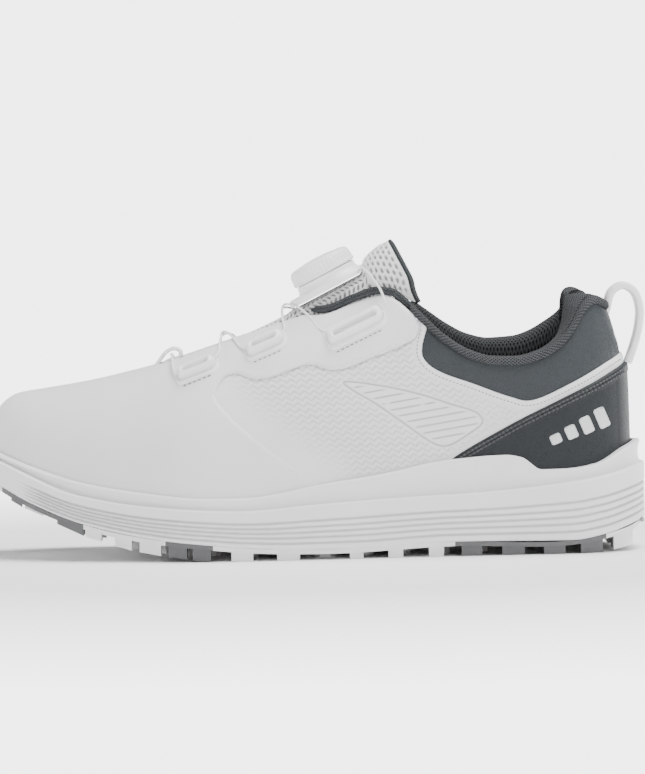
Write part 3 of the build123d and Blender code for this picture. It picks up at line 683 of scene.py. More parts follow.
def panel(name, place, patch, field, height, material, under=-1.8, edge=0.9, sunk_and_painted_shade=None):
    """One panel of the upper, cut along field = 0, with a rounded rim, its own surface height and, if
    given, painted shade at its points.
    """
    params, faces = cut(*patch, field)
    depth = np.maximum(field(params), 0)
    lift = under + 0.1 + rounded(depth, edge, height(params) - under - 0.1)
    s, v = place(params)
    top, _ = upper(s, v, lift)
    low, _ = upper(s, v, np.full(len(s), under))
    points, faces, rim = skirted(top, low, faces)
    piece = add_mesh(name, points, faces, material)
    # Painted shade: the amount of darkening at each point, also set on the skirt.
    if sunk_and_painted_shade is not None:
        share = sunk_and_painted_shade(params)
        add_value(piece, "sunk_and_painted_shade", np.concatenate([share, share[rim]]))
    return piece


def sole_margin(x, z):
    """Height over the line where the upper goes into the midsole, hidden below its top."""
    return z - SOLE_TOP(x) + 3.0


def throat_distance(x, y, z):
    plan = -inside_distance(np.stack([x, y], 1), THROAT_LOOP)
    return np.where(z > 60, plan, 50.0)


def vamp_field(params):
    x, y, z = seen(over_top, params)
    flat = np.stack([x, z], 1)
    return np.minimum.reduce([inside_distance(flat, VAMP_LOOP), inside_distance(flat, TOP_LOOP),
                              throat_distance(x, y, z), sole_margin(x, z) + 1.0])


def vamp_height(params):
    x, _, z = seen(over_top, params)
    return -0.35 + 0.65 * step_up(z, 68, 84)


vamp_grid = grid(np.linspace(0, 0.70, 330), np.linspace(-1.35, 1.35, 300))
vamp = panel("vamp_and_eyestays", over_top, vamp_grid, vamp_field, vamp_height, VAMP_WHITE)
finish_piece(vamp, "shoe", "upper_white", "vamp")


def wave_relief(x, z):
    """Rows of small zigzag waves."""
    zigzag = abs((x + 0.30 * z) / 4.4 % 1 - 0.5) * 2
    ridge = 0.5 + 0.5 * np.cos(2 * np.pi * (z / 2.6 + 0.7 * zigzag))
    return ridge ** 0.8


def window_relief(x, z):
    """The embossed side window: a sunk line round ribs. Its height, its lines and its inside."""
    near = (x > 8) & (x < 84) & (z > 42) & (z < 84)
    depth = np.full(len(x), -20.0)
    depth[near] = inside_distance(np.stack([x[near], z[near]], 1), WINDOW_LOOP)
    outline = np.exp(-(depth / 0.40) ** 2)
    bead = np.exp(-((depth - 1.1) / 0.6) ** 2)
    band = np.floor((z - 0.16 * x) / 3.2)
    climb = z - 0.16 * x - 3.2 * band
    rib = np.exp(-((climb - 1.6) / 0.34) ** 2)
    split = x - 38 - 9.0 * np.sin(2.2 * band) - 0.5 * (z - 60)
    rib = rib * (1 - np.exp(-(split / 1.1) ** 2)) * step_up(depth, 0.9, 1.9)
    crown = step_up(climb, 1.6, 2.0) * (1 - step_up(climb, 2.0, 4.6))
    raised = 0.10 * bead + 0.16 * crown * step_up(depth, 0.9, 1.9)
    return raised - 0.30 * outline - 0.22 * rib, np.maximum(outline, rib), step_up(depth, -1.6, -0.4)


def quarter_relief(params):
    """Height of the quarter's surface, and how much painted shade each place gets."""
    x, _, z = seen(round_heel, params)
    flat = np.stack([x, z], 1)
    from_seam = edge_distance(flat, smooth_line(VAMP_SEAM), closed=False)
    from_collar = edge_distance(flat, smooth_line(COLLAR_SEAM), closed=False)
    from_overlay = edge_distance(flat, smooth_line(HEEL_OVERLAY_TOP), closed=False)
    window, lines, in_window = window_relief(x, z)
    fade = (step_up(from_seam, 3, 22) * step_up(from_collar, 3.2, 5.0)
            * step_up(from_overlay, 1.0, 3.0) * (1 - in_window)
            * step_up(z - SOLE_TOP(x), 0.2, 1.6))
    soft = 1 - 0.6 * step_up(x, 58, 86)
    pebbles = 0.5 + 0.5 * (np.sin(2.1 * x + 1.7 * np.sin(1.1 * z))
                           * np.sin(2.5 * z + 0.8 * np.sin(1.7 * x)))
    waves = soft * wave_relief(x, z) + (1 - soft) * 0.7 * pebbles
    height = -0.66 + 0.46 * fade * waves + window + 0.26 * (1 - step_up(from_collar, 2.8, 4.0))
    # Painted shade: a dark line just outside the eyestay's edge and darker wave valleys; the window's
    # lines are partly grey of their own and partly painted shade in their grooves.
    eyestay_edge_shade = np.exp(-(inside_distance(flat, BEHIND_VAMP) / 0.7) ** 2)
    sunk_and_painted_shade = (0.42 * fade * (1 - waves) ** 1.5 + 0.85 * lines
            + 0.45 * eyestay_edge_shade * step_up(z, 72, 80))
    return height, np.clip(sunk_and_painted_shade, 0, 1)


def quarter_surface(params):
    return quarter_relief(params)[0]


def quarter_painted_shade(params):
    return quarter_relief(params)[1]


def quarter_field(side):
    def field(params):
        x, _, z = seen(round_heel, params)
        flat = np.stack([x, z], 1)
        own_side = params[:, 0] * side * 400
        return np.minimum.reduce([inside_distance(flat, BEHIND_VAMP) + 5.0,
                                  inside_distance(flat, TOP_LOOP),
                                  -inside_distance(flat, COLLAR_LOOP), sole_margin(x, z) + 1.5,
                                  own_side + 0.05])
    return field


for side, word in SIDES:
    around = np.linspace(0, 1, 560) * side
    heights = np.arange(22, 109, 0.30)
    if side < 0:
        around = around[::-1]
    patch = grid(around, heights)
    quarter = panel(f"quarter_panel_{word}", round_heel, patch, quarter_field(side),
                    quarter_surface, QUARTER_WHITE, edge=0.7, sunk_and_painted_shade=quarter_painted_shade)
    finish_piece(quarter, "shoe", "upper_white", f"quarter_{word}")


def collar_panel_field(params):
    x, _, z = seen(round_heel, params)
    flat = np.stack([x, z], 1)
    return np.minimum(inside_distance(flat, COLLAR_LOOP) + 5.0, inside_distance(flat, TOP_LOOP))


def collar_panel_height(params):
    x, _, z = seen(round_heel, params)
    flat = np.stack([x, z], 1)
    from_seam = np.maximum(inside_distance(flat, COLLAR_LOOP), 0)
    from_top = edge_distance(flat, smooth_line(TOPLINE_POINTS), closed=False)
    puff = (1 - np.exp(-from_seam / 4.0)) * (1 - np.exp(-from_top / 3.0))
    creases = 0.10 * np.sin(0.55 * x + 0.9 * z) * np.sin(0.23 * x - 0.31 * z) * puff
    return -1.25 + 1.15 * puff + creases


heel_patch = grid(np.linspace(-1, 1, 620), np.arange(60, 118, 0.6))
collar_panel = panel("collar_leather_panel", round_heel, heel_patch, collar_panel_field,
                     collar_panel_height, LEATHER, edge=1.2)
finish_piece(collar_panel, "shoe", "leather_grey", "collar_panel")


def overlay_field(params):
    x, _, z = seen(round_heel, params)
    flat = np.stack([x, z], 1)
    return np.minimum(inside_distance(flat, OVERLAY_LOOP), sole_margin(x, z) + 0.5)


def overlay_height(params):
    x, _, z = seen(round_heel, params)
    from_top = edge_distance(np.stack([x, z], 1), smooth_line(HEEL_OVERLAY_TOP), closed=False)
    band = 1 - step_up(from_top, 3.6, 4.6)
    return 0.55 + 0.45 * band


overlay_patch = grid(np.linspace(-0.62, 0.62, 520), np.arange(30, 96, 0.45))
heel_overlay = panel("heel_overlay_panel", round_heel, overlay_patch, overlay_field,
                     overlay_height, OVERLAY_LEATHER, under=-0.9, edge=0.8)
finish_piece(heel_overlay, "shoe", "leather_grey", "heel_overlay")


# ---------------------------------------------------------------- linings, collar and insole
def lining_sheet(name, place, patch, field, inset, material, node):
    params, faces = cut(*patch, field)
    s, v = place(params)
    outer, _ = upper(s, v, np.full(len(s), inset + 1.2))
    inner, _ = upper(s, v, np.full(len(s), inset))
    points, faces = closed_shell(outer, inner, faces)
    uv = np.stack([400 * s, np.where(abs(v) > 0, 90 * v, 0)], 1)
    sheet = add_mesh(name, points, faces, material, 50, np.vstack([uv, uv]))
    return finish_piece(sheet, "shoe", "lining_knit", node)


def vamp_lining_field(params):
    x, y, z = seen(over_top, params)
    flat = np.stack([x, z], 1)
    return np.minimum.reduce([49 - x, inside_distance(flat, TOP_LOOP) + 0.4,
                              throat_distance(x, y, z) - 1.5, z - FOOTBED(x) - 2])


def quarter_lining_field(params):
    x, _, z = seen(round_heel, params)
    return np.minimum.reduce([x - 44, TOPLINE(x) - z - 14, z - FOOTBED(x) - 1])


lining_sheet("vamp_lining_knit", over_top,
             grid(np.linspace(0.004, 0.70, 130), np.linspace(-1.5, 1.5, 130)),
             vamp_lining_field, -3.2, KNIT, "vamp_lining")
lining_sheet("quarter_lining_knit", round_heel,
             grid(np.linspace(-1, 1, 220), np.arange(16, 104, 1.5)),
             quarter_lining_field, -3.2, KNIT, "quarter_lining")


def gusset_field(params):
    x, y, z = seen(over_top, params)
    return np.minimum.reduce([-throat_distance(x, y, z) + 7.0, 30 - x, x + 75, z - 60])


lining_sheet("tongue_gusset", over_top,
             grid(np.linspace(0.25, 0.66, 90), np.linspace(-0.6, 0.6, 60)),
             gusset_field, -8.5, GUSSET, "vamp_lining")


def round_ankle(count):
    """Stations round the ankle from the lateral front to the medial front: s, side, x, topline z."""
    around = np.linspace(-1, 1, count)
    s = np.empty(count)
    side = np.where(around < 0, LATERAL, MEDIAL)
    low, _ = seen_at(np.array([45.5]), TOPLINE(np.array([45.5])), LATERAL)
    s = 1 - abs(around) * (1 - low[0])
    x = np.zeros(count)
    z = np.full(count, 95.0)
    for _ in range(12):
        x = bare_upper(s, v_at(s, side, z))[:, 0]
        z = 0.5 * z + 0.5 * TOPLINE(x)
    return s, side, x, TOPLINE(x)


ROLL_RISE = {
    LATERAL: curve([(45, 3.4), (60, 3.0), (100, 3.0), (116, 3.4), (130, 3.6), (140, 3.6)]),
    MEDIAL: curve([(45, 4.4), (60, 7.4), (80, 9.6), (100, 11.6), (108, 12.8), (116, 12.6),
                   (123, 9.0), (130, 5.2), (136, 4.0), (142, 3.6)])}
ROLL_DEPTH = curve([(45, 3.4), (60, 7), (80, 9), (105, 10.5), (120, 12), (130, 13), (140, 13)])
PIPE = 2.2                 # radius of the knit piping on the leather's edge
ANKLE = round_ankle(420)


def collar_profile(height, depth):
    """Distances into the shoe and heights over the topline: piping, crease and padded roll."""
    turn = np.linspace(-0.35 * np.pi, 0.95 * np.pi, 16)
    piping = np.stack([-1.5 + PIPE * np.cos(turn), 0.9 + PIPE * np.sin(turn)], 1)
    crease = np.array([[-3.9, 1.7]])
    turn = np.linspace(0, np.pi, 26)
    crown = 0.5 * depth
    roll = np.stack([-4.1 - crown + (crown - 0.3) * np.cos(turn),
                     1.6 + (height - 1.6) * np.sin(turn) ** 0.7], 1)
    down = np.linspace(0, 1, 14)[1:, None]
    inner = (1 - down) * np.array([[-4.1 - 2 * crown + 0.3, 1.6]]) + down * np.array([[-5.5, -22.0]])
    inner[:, 0] -= 1.6 * np.sin(np.pi * down[:, 0])
    back = np.array([[-3.4, -23.0], [-2.2, -20.0], [-2.0, -10.0], [-1.6, -2.0]])
    return np.vstack([piping, crease, roll, inner, back])


def collar_ring(k):
    s, side, x, top = (value[k] for value in ANKLE)
    profile = collar_profile(ROLL_RISE[side](x), ROLL_DEPTH(x))
    z = top + profile[:, 1]
    s_all = np.full(len(z), s)
    base, normal = upper(s_all, v_at(s_all, side, np.minimum(z, top + 1.0)))
    flat = normal.copy()
    flat[:, 2] = 0
    flat /= np.linalg.norm(flat, axis=1, keepdims=True)
    points = base + flat * profile[:, :1]
    points[:, 2] = z
    return points


profile_size = len(collar_profile(6.0, 8.0))
stations = len(ANKLE[0])
collar_points = np.vstack([collar_ring(k) for k in range(stations)])
collar_faces = ring_faces(stations, profile_size)
lengthwise = run_along(collar_points[20::profile_size])
section = collar_points[:profile_size * 210][-profile_size:]
girth = run_along(section)
collar_uv = np.stack([np.repeat(lengthwise, profile_size), np.tile(girth, stations)], 1)
collar = add_mesh("padded_collar", collar_points, collar_faces, KNIT, 75, collar_uv)
finish_piece(collar, "shoe", "lining_knit", "collar_lining", "collar_foam")


def insole_points(count_s, count_y, inset, rise):
    s = np.linspace(0.02, 0.985, count_s)[:, None]
    t = np.linspace(-1, 1, count_y)[None, :]
    x, low = outline(s, LATERAL, -SOLE_WALL - inset)
    _, high = outline(s, MEDIAL, -SOLE_WALL - inset)
    y = (low + high) / 2 + (high - low) / 2 * t
    x = x + 0 * t
    cup = 5.0 * np.clip((x - 20) / 90, 0, 1) * abs(t) ** 6 + 1.2 * abs(t) ** 8
    arch = 3.5 * np.exp(-((x - 25) / 38) ** 2) * np.clip(t, 0, 1) ** 3
    z = FOOTBED(x) + rise + cup + arch
    return np.stack([x, y, z], -1).reshape(-1, 3)


_, insole_faces = grid(np.arange(150), np.arange(60))
insole_top = insole_points(150, 60, 4.2, 4.4)
insole_low = insole_top - np.array([0, 0, 3.9])
points, faces = closed_shell(insole_top, insole_low, insole_faces)
sockliner = add_mesh("sockliner_pad", points, faces, SOCK, 60, np.vstack([insole_top[:, :2]] * 2))
finish_piece(sockliner, "shoe", "sockliner", "sockliner")


# ---------------------------------------------------------------- midsole
GROOVES = (0.15, 0.28, 0.40, 0.52, 0.65)


def sole_profile(x):
    """Distance out from the outline, and height, from the inner foot to the inner top."""
    bottom, ridge, top = SOLE_BOTTOM(x), SOLE_RIDGE(x), SOLE_TOP(x)
    fade = step_up(x, -132, -118)
    rise = ridge - bottom
    share = np.linspace(0, 1, 90)
    groove = sum(np.exp(-((share - g) * rise / 0.55) ** 2) for g in GROOVES)
    wall_out = -0.75 * fade * groove
    corner = np.clip(1 - share * rise / 1.2, 0, 1)
    wall_out = wall_out - 1.2 * (1 - np.sqrt(1 - corner ** 2))
    lip = np.clip(1 - (1 - share) * rise / 0.9, 0, 1)
    wall_out = wall_out - 0.9 * (1 - np.sqrt(1 - lip ** 2))
    wall = np.stack([wall_out, bottom + share * rise], 1)
    climb = np.linspace(0, 1, 22)
    band = np.stack([-2.2 - 0.75 * np.sin(np.pi * climb) + 0.25 * climb,
                     ridge + 0.15 + climb * (top - 1.1 - ridge)], 1)
    turn = np.linspace(0, np.pi / 2, 8)[1:]
    roll = np.stack([-1.95 - 1.1 * (1 - np.cos(turn)), top - 1.1 + 1.1 * np.sin(turn)], 1)
    inner = np.array([[-4.9, top - 0.1], [-5.1, top - 3.5], [-6.5, top - 6.0],
                      [-13.0, bottom + 1.0], [-2.5, bottom - 0.05]])
    # Painted shade for each profile point: the bottom edge, the grooves, and the lower part of the
    # concave band.
    sunk_and_painted_shade = np.concatenate([[0.3], 0.55 * fade * np.clip(groove, 0, 1), 0.25 * (1 - climb) ** 4,
                           np.zeros(len(roll)), np.zeros(len(inner))])
    return np.vstack([[[-1.2 - 0.6, bottom]], wall, band, roll, inner]), sunk_and_painted_shade


def sole_ring():
    shares = (1 - np.cos(np.linspace(0, np.pi, 380))) / 2
    shares = 0.5 * shares + 0.5 * np.linspace(0, 1, 380)
    rings, painted_shade_shares = [], []
    for side, order in ((LATERAL, shares), (MEDIAL, shares[::-1])):
        for s in order[:-1]:
            x, y = outline(np.array(s), side, 0.0)
            profile, sunk_and_painted_shade = sole_profile(x)
            ox, oy = outline(np.full(len(profile), s), side, profile[:, 0])
            rings.append(np.stack([ox, oy, profile[:, 1]], 1))
            painted_shade_shares.append(sunk_and_painted_shade)
    return rings, np.concatenate(painted_shade_shares)


rings, midsole_painted_shade = sole_ring()
size = len(rings[0])
faces = []
for k in range(len(rings)):
    following = (k + 1) % len(rings)
    for i in range(size):
        j = (i + 1) % size
        faces.append([k * size + i, following * size + i, following * size + j, k * size + j])
midsole = add_mesh("midsole_foam", np.vstack(rings), faces, MIDSOLE_WHITE, 40)
# Painted shade in the midsole's grooves, at its bottom edge and low in its concave band.
add_value(midsole, "sunk_and_painted_shade", midsole_painted_shade)
finish_piece(midsole, "shoe", "midsole_foam", "midsole")


# ---------------------------------------------------------------- straps
def strap(path, thickness, width, middle_y, name, material):
    """A webbing or moulded strap along a side-view path, with rounded edges."""
    line = smooth_line(path, step=0.5)
    along = np.gradient(line, axis=0)
    along /= np.linalg.norm(along, axis=1, keepdims=True)
    turn = np.linspace(0, 2 * np.pi, 28, endpoint=False)
    half_t, half_w = thickness / 2, width / 2
    round_w = np.sign(np.cos(turn)) * abs(np.cos(turn)) ** 0.25 * half_w
    round_t = np.sign(np.sin(turn)) * abs(np.sin(turn)) ** 0.6 * half_t
    points = []
    for (x, z), (ax, az) in zip(line, along):
        points.append(np.stack([x - az * round_t, middle_y + round_w, z + ax * round_t], 1))
    return add_mesh(name, np.vstack(points), ring_faces(len(line), len(turn)), material, 60)


PULL_TAB = [(133.0, 103), (134.6, 108.5), (136.6, 115), (141.6, 118.0), (146.6, 115.4),
            (149.2, 108), (148.6, 99), (146.2, 90), (143.6, 83)]
TOE_LOOP = [(-69, 84.5), (-66.6, 88), (-63.8, 91.2), (-60.6, 92.6), (-57.9, 91.6), (-57.5, 89.4),
            (-59.6, 88), (-62.6, 87.4), (-65.5, 85.5)]
pull_tab = strap(PULL_TAB, 3.5, 14.0, SEAM_Y, "pull_tab_strap", STRAP_WHITE)
finish_piece(pull_tab, "shoe", "strap_white", "pull_tab")
toe_loop = strap(TOE_LOOP, 1.7, 8.0, THROAT_Y, "toe_loop_webbing", STRAP_WHITE)
finish_piece(toe_loop, "shoe", "strap_white", "toe_loop")


# ---------------------------------------------------------------- tongue
SLOPE = math.radians(27.0)
DIAL_AT = np.array([10.25, THROAT_Y, 120.3])
DIAL_U = np.array([math.cos(SLOPE), 0, math.sin(SLOPE)])
DIAL_V = np.array([0.0, 1.0, 0.0])
DIAL_W = np.array([-math.sin(SLOPE), 0, math.cos(SLOPE)])
TONGUE_TOP = curve([(-70, 0.5), (-50, -1.6), (-24, -2.6), (-21, -2.1), (13.5, -2.1), (18.5, 3.2),
                    (23, 4.7), (28, 5.5), (33, 5.3), (36, 5.2)])
TONGUE_DEPTH = curve([(-70, 6.5), (-50, 7.5), (-24, 10), (0, 13), (19.5, 20), (33, 32), (36, 33)])


def on_dial(u, v, w):
    u, v, w = (np.asarray(q, float)[..., None] for q in (u, v, w))
    return DIAL_AT + u * DIAL_U + v * DIAL_V + w * DIAL_W


def tongue_arch(u, k, inset):
    """The arched tongue, k from -1 (lateral edge) to 1 (medial edge), inset below its outside."""
    u = u - 1.8 * step_up(abs(k), 0.8, 1.0) * step_up(u, 20, TONGUE_END)
    half = np.minimum(THROAT(DIAL_AT[0] + u * DIAL_U[0]) - 2.2, 19.5)
    thin = np.clip((half - 1.2) / 7.0, 0, 1)
    inset = inset * thin
    angle = np.pi / 2 * k
    y = np.sign(k) * abs(np.sin(angle)) ** (2 / 3) * (half - inset)
    top, depth = TONGUE_TOP(u), TONGUE_DEPTH(u)
    w = top - depth + (depth - inset) * abs(np.cos(angle)) ** (2 / 3)
    return on_dial(u, y, w)


def mesh_holes(a, b):
    """Staggered oval holes over a flat piece of spacer mesh: 1 in a hole, 0 on the cloth."""
    row = np.floor(b / 2.2)
    across = (a + 2.0 * (row % 2)) % 4.0 - 2.0
    down = b - (row + 0.5) * 2.2
    return 0.9 * (1 - step_up(np.hypot(across / 1.45, down / 0.72), 0.5, 1.25))


def ladder_holes(a, b):
    """Slanting slots between the zigzag threads of the band under the dial."""
    row = np.floor(abs(a) / 3.6)
    across = abs(a) - (row + 0.5) * 3.6
    lean = np.where(row % 2 == 0, 0.45, -0.45) * across
    down = (b + lean) % 2.3 - 1.15
    return 1 - step_up(np.hypot(across / 1.5, down / 0.62), 0.75, 1.2)


TONGUE_START, TONGUE_END = -69.0, 31.8
TONGUE_THICKNESS = 6.4
u_count, k_count = 330, 230
u_line = np.linspace(TONGUE_START, TONGUE_END, u_count)
k_line = np.linspace(-1, 1, k_count)
tongue_params, tongue_faces = grid(u_line, k_line)
u_all, k_all = tongue_params.T
outer = tongue_arch(u_all, k_all, np.zeros(len(u_all))).reshape(u_count, k_count, 3)
around_length = np.concatenate([np.zeros((u_count, 1)), np.cumsum(
    np.linalg.norm(np.diff(outer, axis=1), axis=2), axis=1)], axis=1)
around_length -= around_length[:, k_count // 2][:, None]
arc = around_length.ravel()
flat_uv = np.stack([u_all, arc], 1)
normals = np.cross(np.gradient(outer, axis=0), np.gradient(outer, axis=1))
normals /= np.maximum(np.linalg.norm(normals, axis=2, keepdims=True), 1e-9)
normals = normals.reshape(-1, 3)
rear_share = step_up(u_all, 17.5, 19.0)
under_dial = step_up(u_all, -26, -24) * (1 - step_up(u_all, 15.5, 16.5))
holes = (rear_share * mesh_holes(arc, u_all) + under_dial * ladder_holes(arc, u_all)
         + (1 - step_up(u_all, -26, -24)) * mesh_holes(arc, u_all))
holes = holes * step_up(TONGUE_END - u_all, 0.6, 2.0) * step_up(1 - abs(k_all), 0.02, 0.06)
outer_points = outer.reshape(-1, 3) - normals * (0.85 * holes)[:, None]
inner_points = tongue_arch(u_all, k_all, np.full(len(u_all), TONGUE_THICKNESS))
points, faces = closed_shell(outer_points, inner_points, tongue_faces)
tongue = add_mesh("tongue_pad", points, faces, TONGUE_MESH, 60, np.vstack([flat_uv, flat_uv]))
add_value(tongue, "hole", np.concatenate([holes, np.zeros(len(holes))]))
tongue.data.materials.append(KNIT)
inner_faces = np.zeros(len(tongue.data.polygons), np.int32)
inner_faces[len(tongue_faces):2 * len(tongue_faces)] = 1
tongue.data.polygons.foreach_set("material_index", inner_faces)
finish_piece(tongue, "tongue", "tongue_mesh", "tongue_mesh", "tongue_foam", "tongue_lining")

RIM_STATIONS = 160
rim_k = np.linspace(-1, 1, RIM_STATIONS)
rim_u = np.full(RIM_STATIONS, TONGUE_END + 0.9)
rim_outer = tongue_arch(rim_u, rim_k, np.zeros(RIM_STATIONS))
rim_inner = tongue_arch(rim_u, rim_k, np.full(RIM_STATIONS, TONGUE_THICKNESS))
rim_middle = (rim_outer + rim_inner) / 2
rim_reach = (rim_outer - rim_inner) / 2
turn = np.linspace(0, 2 * np.pi, 24, endpoint=False)
rings = []
for middle, reach in zip(rim_middle, rim_reach):
    out_way = reach * 1.10
    rings.append(middle + np.cos(turn)[:, None] * out_way
                 + (np.sign(np.sin(turn)) * abs(np.sin(turn)) ** 0.8)[:, None] * 1.35 * DIAL_U)
n = len(turn)
faces = ring_faces(RIM_STATIONS, n)
rim_arc = run_along(rim_outer)
rim_uv = np.stack([np.repeat(rim_arc, n), np.tile(turn * 2.2, RIM_STATIONS)], 1)
tongue_rim = add_mesh("tongue_binding_roll", np.vstack(rings), faces, BINDING, 80, rim_uv)
finish_piece(tongue_rim, "tongue", "lining_knit", "tongue_binding")


# ---------------------------------------------------------------- lace guides
# Each guide block's rear and front end, seen from the side, and its height across.
GUIDES = {"top": ((33.6, 107.6), (8.2, 95.6), 9.8),
          "middle": ((-10.4, 97.4), (-27.6, 90.2), 9.6),
          "low": ((-40.6, 86.4), (-58.4, 79.8), 9.2)}


def guide_frame(rear, front, side):
    """Origin and axes on the upper at a guide: along towards its rear end, up, and out."""
    end_r, _ = on_upper(*rear, side)
    end_f, _ = on_upper(*front, side)
    middle, out = on_upper((rear[0] + front[0]) / 2, (rear[1] + front[1]) / 2, side)
    along = (end_r - end_f) / np.linalg.norm(end_r - end_f)
    out = out - along * (out @ along)
    out /= np.linalg.norm(out)
    up = np.cross(out, along) * (1 if side < 0 else -1)
    if up[2] < 0:
        up = -up
    return middle, along, up, out, np.linalg.norm(end_r - end_f)


def stadium_distance(a, b, half_a, half_b, radius):
    """Distance inside a rounded rectangle."""
    reach_a, reach_b = abs(a) - (half_a - radius), abs(b) - (half_b - radius)
    outside = np.hypot(np.maximum(reach_a, 0), np.maximum(reach_b, 0))
    return radius - outside - np.minimum(np.maximum(reach_a, reach_b), 0)


def guide_piece(name, side, word):
    """A lace guide: a leaning block with a slot, on a thin base. Returns its row of stitches."""
    rear, front, tall = GUIDES[name]
    middle, along, up, out, length = guide_frame(rear, front, side)
    base_half_a, base_half_b = length / 2 + 0.6, tall / 2 + 0.9
    lean = 0.16

    def base_distance(p):
        a = p[:, 0] - lean * p[:, 1]
        return stadium_distance(a, p[:, 1], base_half_a, base_half_b, 3.4)

    params, faces = grid(np.linspace(-base_half_a - 2, base_half_a + 2, 150),
                         np.linspace(-base_half_b - 1, base_half_b + 1, 74))
    if side > 0:
        faces = [face[::-1] for face in faces]
    params, faces = cut(params, faces, base_distance)
    a, b = params[:, 0] - lean * params[:, 1], params[:, 1]
    base = rounded(np.maximum(base_distance(params), 0), 0.5, 0.7)
    block = stadium_distance(a, b - 0.5, length / 2 - 0.4, tall / 2 - 0.9, 3.0)
    body = rounded(np.maximum(block, 0), 1.2, 3.3) * (block > 0)
    slot = stadium_distance(a, b - 0.2, length / 2 - 3.4, 1.5, 1.45)
    sunk_and_painted_shade = 2.5 * step_up(slot, -0.2, 0.45)
    rim = 0.32 * np.exp(-((slot + 0.9) / 0.5) ** 2)
    height = base + body + rim * (block > 0.8) - sunk_and_painted_shade
    guess = middle + params[:, :1] * along + b[:, None] * up
    s, v = seen_at(guess[:, 0], np.minimum(guess[:, 2], 400), side)
    surface, normal = upper(s, v, np.zeros(len(s)))
    drop = np.clip(((surface - guess) @ out), -5.0, 1.2)
    foot = guess + out * drop[:, None]
    top = foot + out * (0.25 + base)[:, None]
    level = guess + out * (0.25 + np.maximum(drop, -1.0) * 0.5 + height)[:, None]
    weight = np.clip(block / 1.2, 0, 1)[:, None]
    top = top * (1 - weight) + level * weight
    low = foot - out * 0.9
    points, faces, _ = skirted(top, low, faces)
    piece = add_mesh(f"lace_guide_{name}_{word}_block", points, faces, GUIDE_WHITE, 60)
    # Painted shade: a dark line round the block's foot, in the slot, and on the base's skirt.
    painted_foot_shadow = np.exp(-(block / 0.5) ** 2)
    share = np.clip(0.45 * painted_foot_shadow + 0.30 * step_up(slot, -0.3, 0.8), 0, 1)
    add_value(piece, "sunk_and_painted_shade", np.concatenate([share, np.full(len(points) - len(share), 0.5)]))
    finish_piece(piece, "shoe", "guide_white", f"lace_guide_{name}_{word}")
    line_a = np.linspace(-base_half_a + 2.5, base_half_a - 2.5, 40)
    spot = middle + (line_a - lean * base_half_b)[:, None] * along - (base_half_b + 1.5) * up
    s, v = seen_at(spot[:, 0], spot[:, 2], side)
    row, row_normal = upper(s, v, np.full(len(s), 0.28))
    return row, row_normal


thread_rows = {"white": [], "grey": [], "dark": []}
for side, word in SIDES:
    for name in GUIDES:
        row, row_normal = guide_piece(name, side, word)
        thread_rows["grey"].append(stitches(row, row_normal, 2.3, 1.5, 0.26))


# ---------------------------------------------------------------- stitching
def offset_line(line, amount):
    """A side-view line moved to its left by an amount."""
    along = np.gradient(line, axis=0)
    along /= np.linalg.norm(along, axis=1, keepdims=True)
    return line + amount * np.stack([-along[:, 1], along[:, 0]], 1)


STITCHES_END = 140.5            # no stitches behind this x


def row_on_upper(line, side, lift, pitch=2.4, length=1.7, radius=0.26):
    """A row of stitches along a side-view line, laid on the upper."""
    line = line[line[:, 0] < STITCHES_END]
    points, normal = on_upper(line[:, 0], line[:, 1], side, np.full(len(line), lift))
    return stitches(points, normal, pitch, length, radius)


collar_edge = smooth_line(COLLAR_SEAM, step=0.3)
overlay_edge = smooth_line(HEEL_OVERLAY_TOP, step=0.3)
eyestay_edge = smooth_line(EYESTAY_FOOT[5:] + [(49.2, 104)], step=0.3)
for side, _ in SIDES:
    thread_rows["grey"].append(row_on_upper(offset_line(collar_edge, -2.3)[4:], side, -0.36,
                                            1.7, 0.9, 0.22))
    thread_rows["white"].append(row_on_upper(offset_line(eyestay_edge, 2.0), side, 0.30, radius=0.2))
    for inward in (1.5, 3.0):
        thread_rows["dark"].append(row_on_upper(offset_line(overlay_edge, -inward)[24:], side, 1.05,
                                                2.0, 1.6, 0.42))
for tone, finish_used in (("white", WHITE_THREAD), ("grey", GREY_THREAD), ("dark", DARK_THREAD)):
    points, faces = joined(thread_rows[tone])
    rows = add_mesh(f"stitching_{tone}", points, faces, finish_used, 0)
    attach(rows, "shoe")


# ---------------------------------------------------------------- heel mark
MARK_BARS = ((-12.0, 4.6), (-4.5, 6.2), (3.0, 7.8), (10.5, 9.4))   # place along the row, height
MARK_X, MARK_Z = 120, 55.5
MARK_TILT = math.radians(23)
BAR_HALF_WIDTH, BAR_CORNER = 2.6, 1.2


def heel_mark(side, word):
    """A plain tapering row of rounded bars, raised a little from the overlay."""
    shapes = []
    for at, tall in MARK_BARS:
        def bar(p, half_b=tall / 2):
            return stadium_distance(p[:, 0], p[:, 1], BAR_HALF_WIDTH, half_b, BAR_CORNER)
        params, faces = grid(np.linspace(-3.0, 3.0, 21),
                             np.linspace(-tall / 2 - 0.6, tall / 2 + 0.6, 31))
        params, faces = cut(params, faces, bar)
        a, b = params[:, 0] + at, params[:, 1]
        x = MARK_X + a * math.cos(MARK_TILT) - b * math.sin(MARK_TILT)
        z = MARK_Z + a * math.sin(MARK_TILT) + b * math.cos(MARK_TILT)
        lift = 0.50 + rounded(np.maximum(bar(params), 0), 0.4, 0.35)
        top, _ = on_upper(x, z, side, lift)
        low, _ = on_upper(x, z, side, np.full(len(x), 0.3))
        if side > 0:
            faces = [face[::-1] for face in faces]
        points, faces, _ = skirted(top, low, faces)
        shapes.append((points, faces))
    points, faces = joined(shapes)
    return add_mesh(f"heel_mark_{word}", points, faces, BADGE, 50)


marks = [heel_mark(side, word) for side, word in SIDES]
for mark in marks:
    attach(mark, "shoe")
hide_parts("heel_badges")


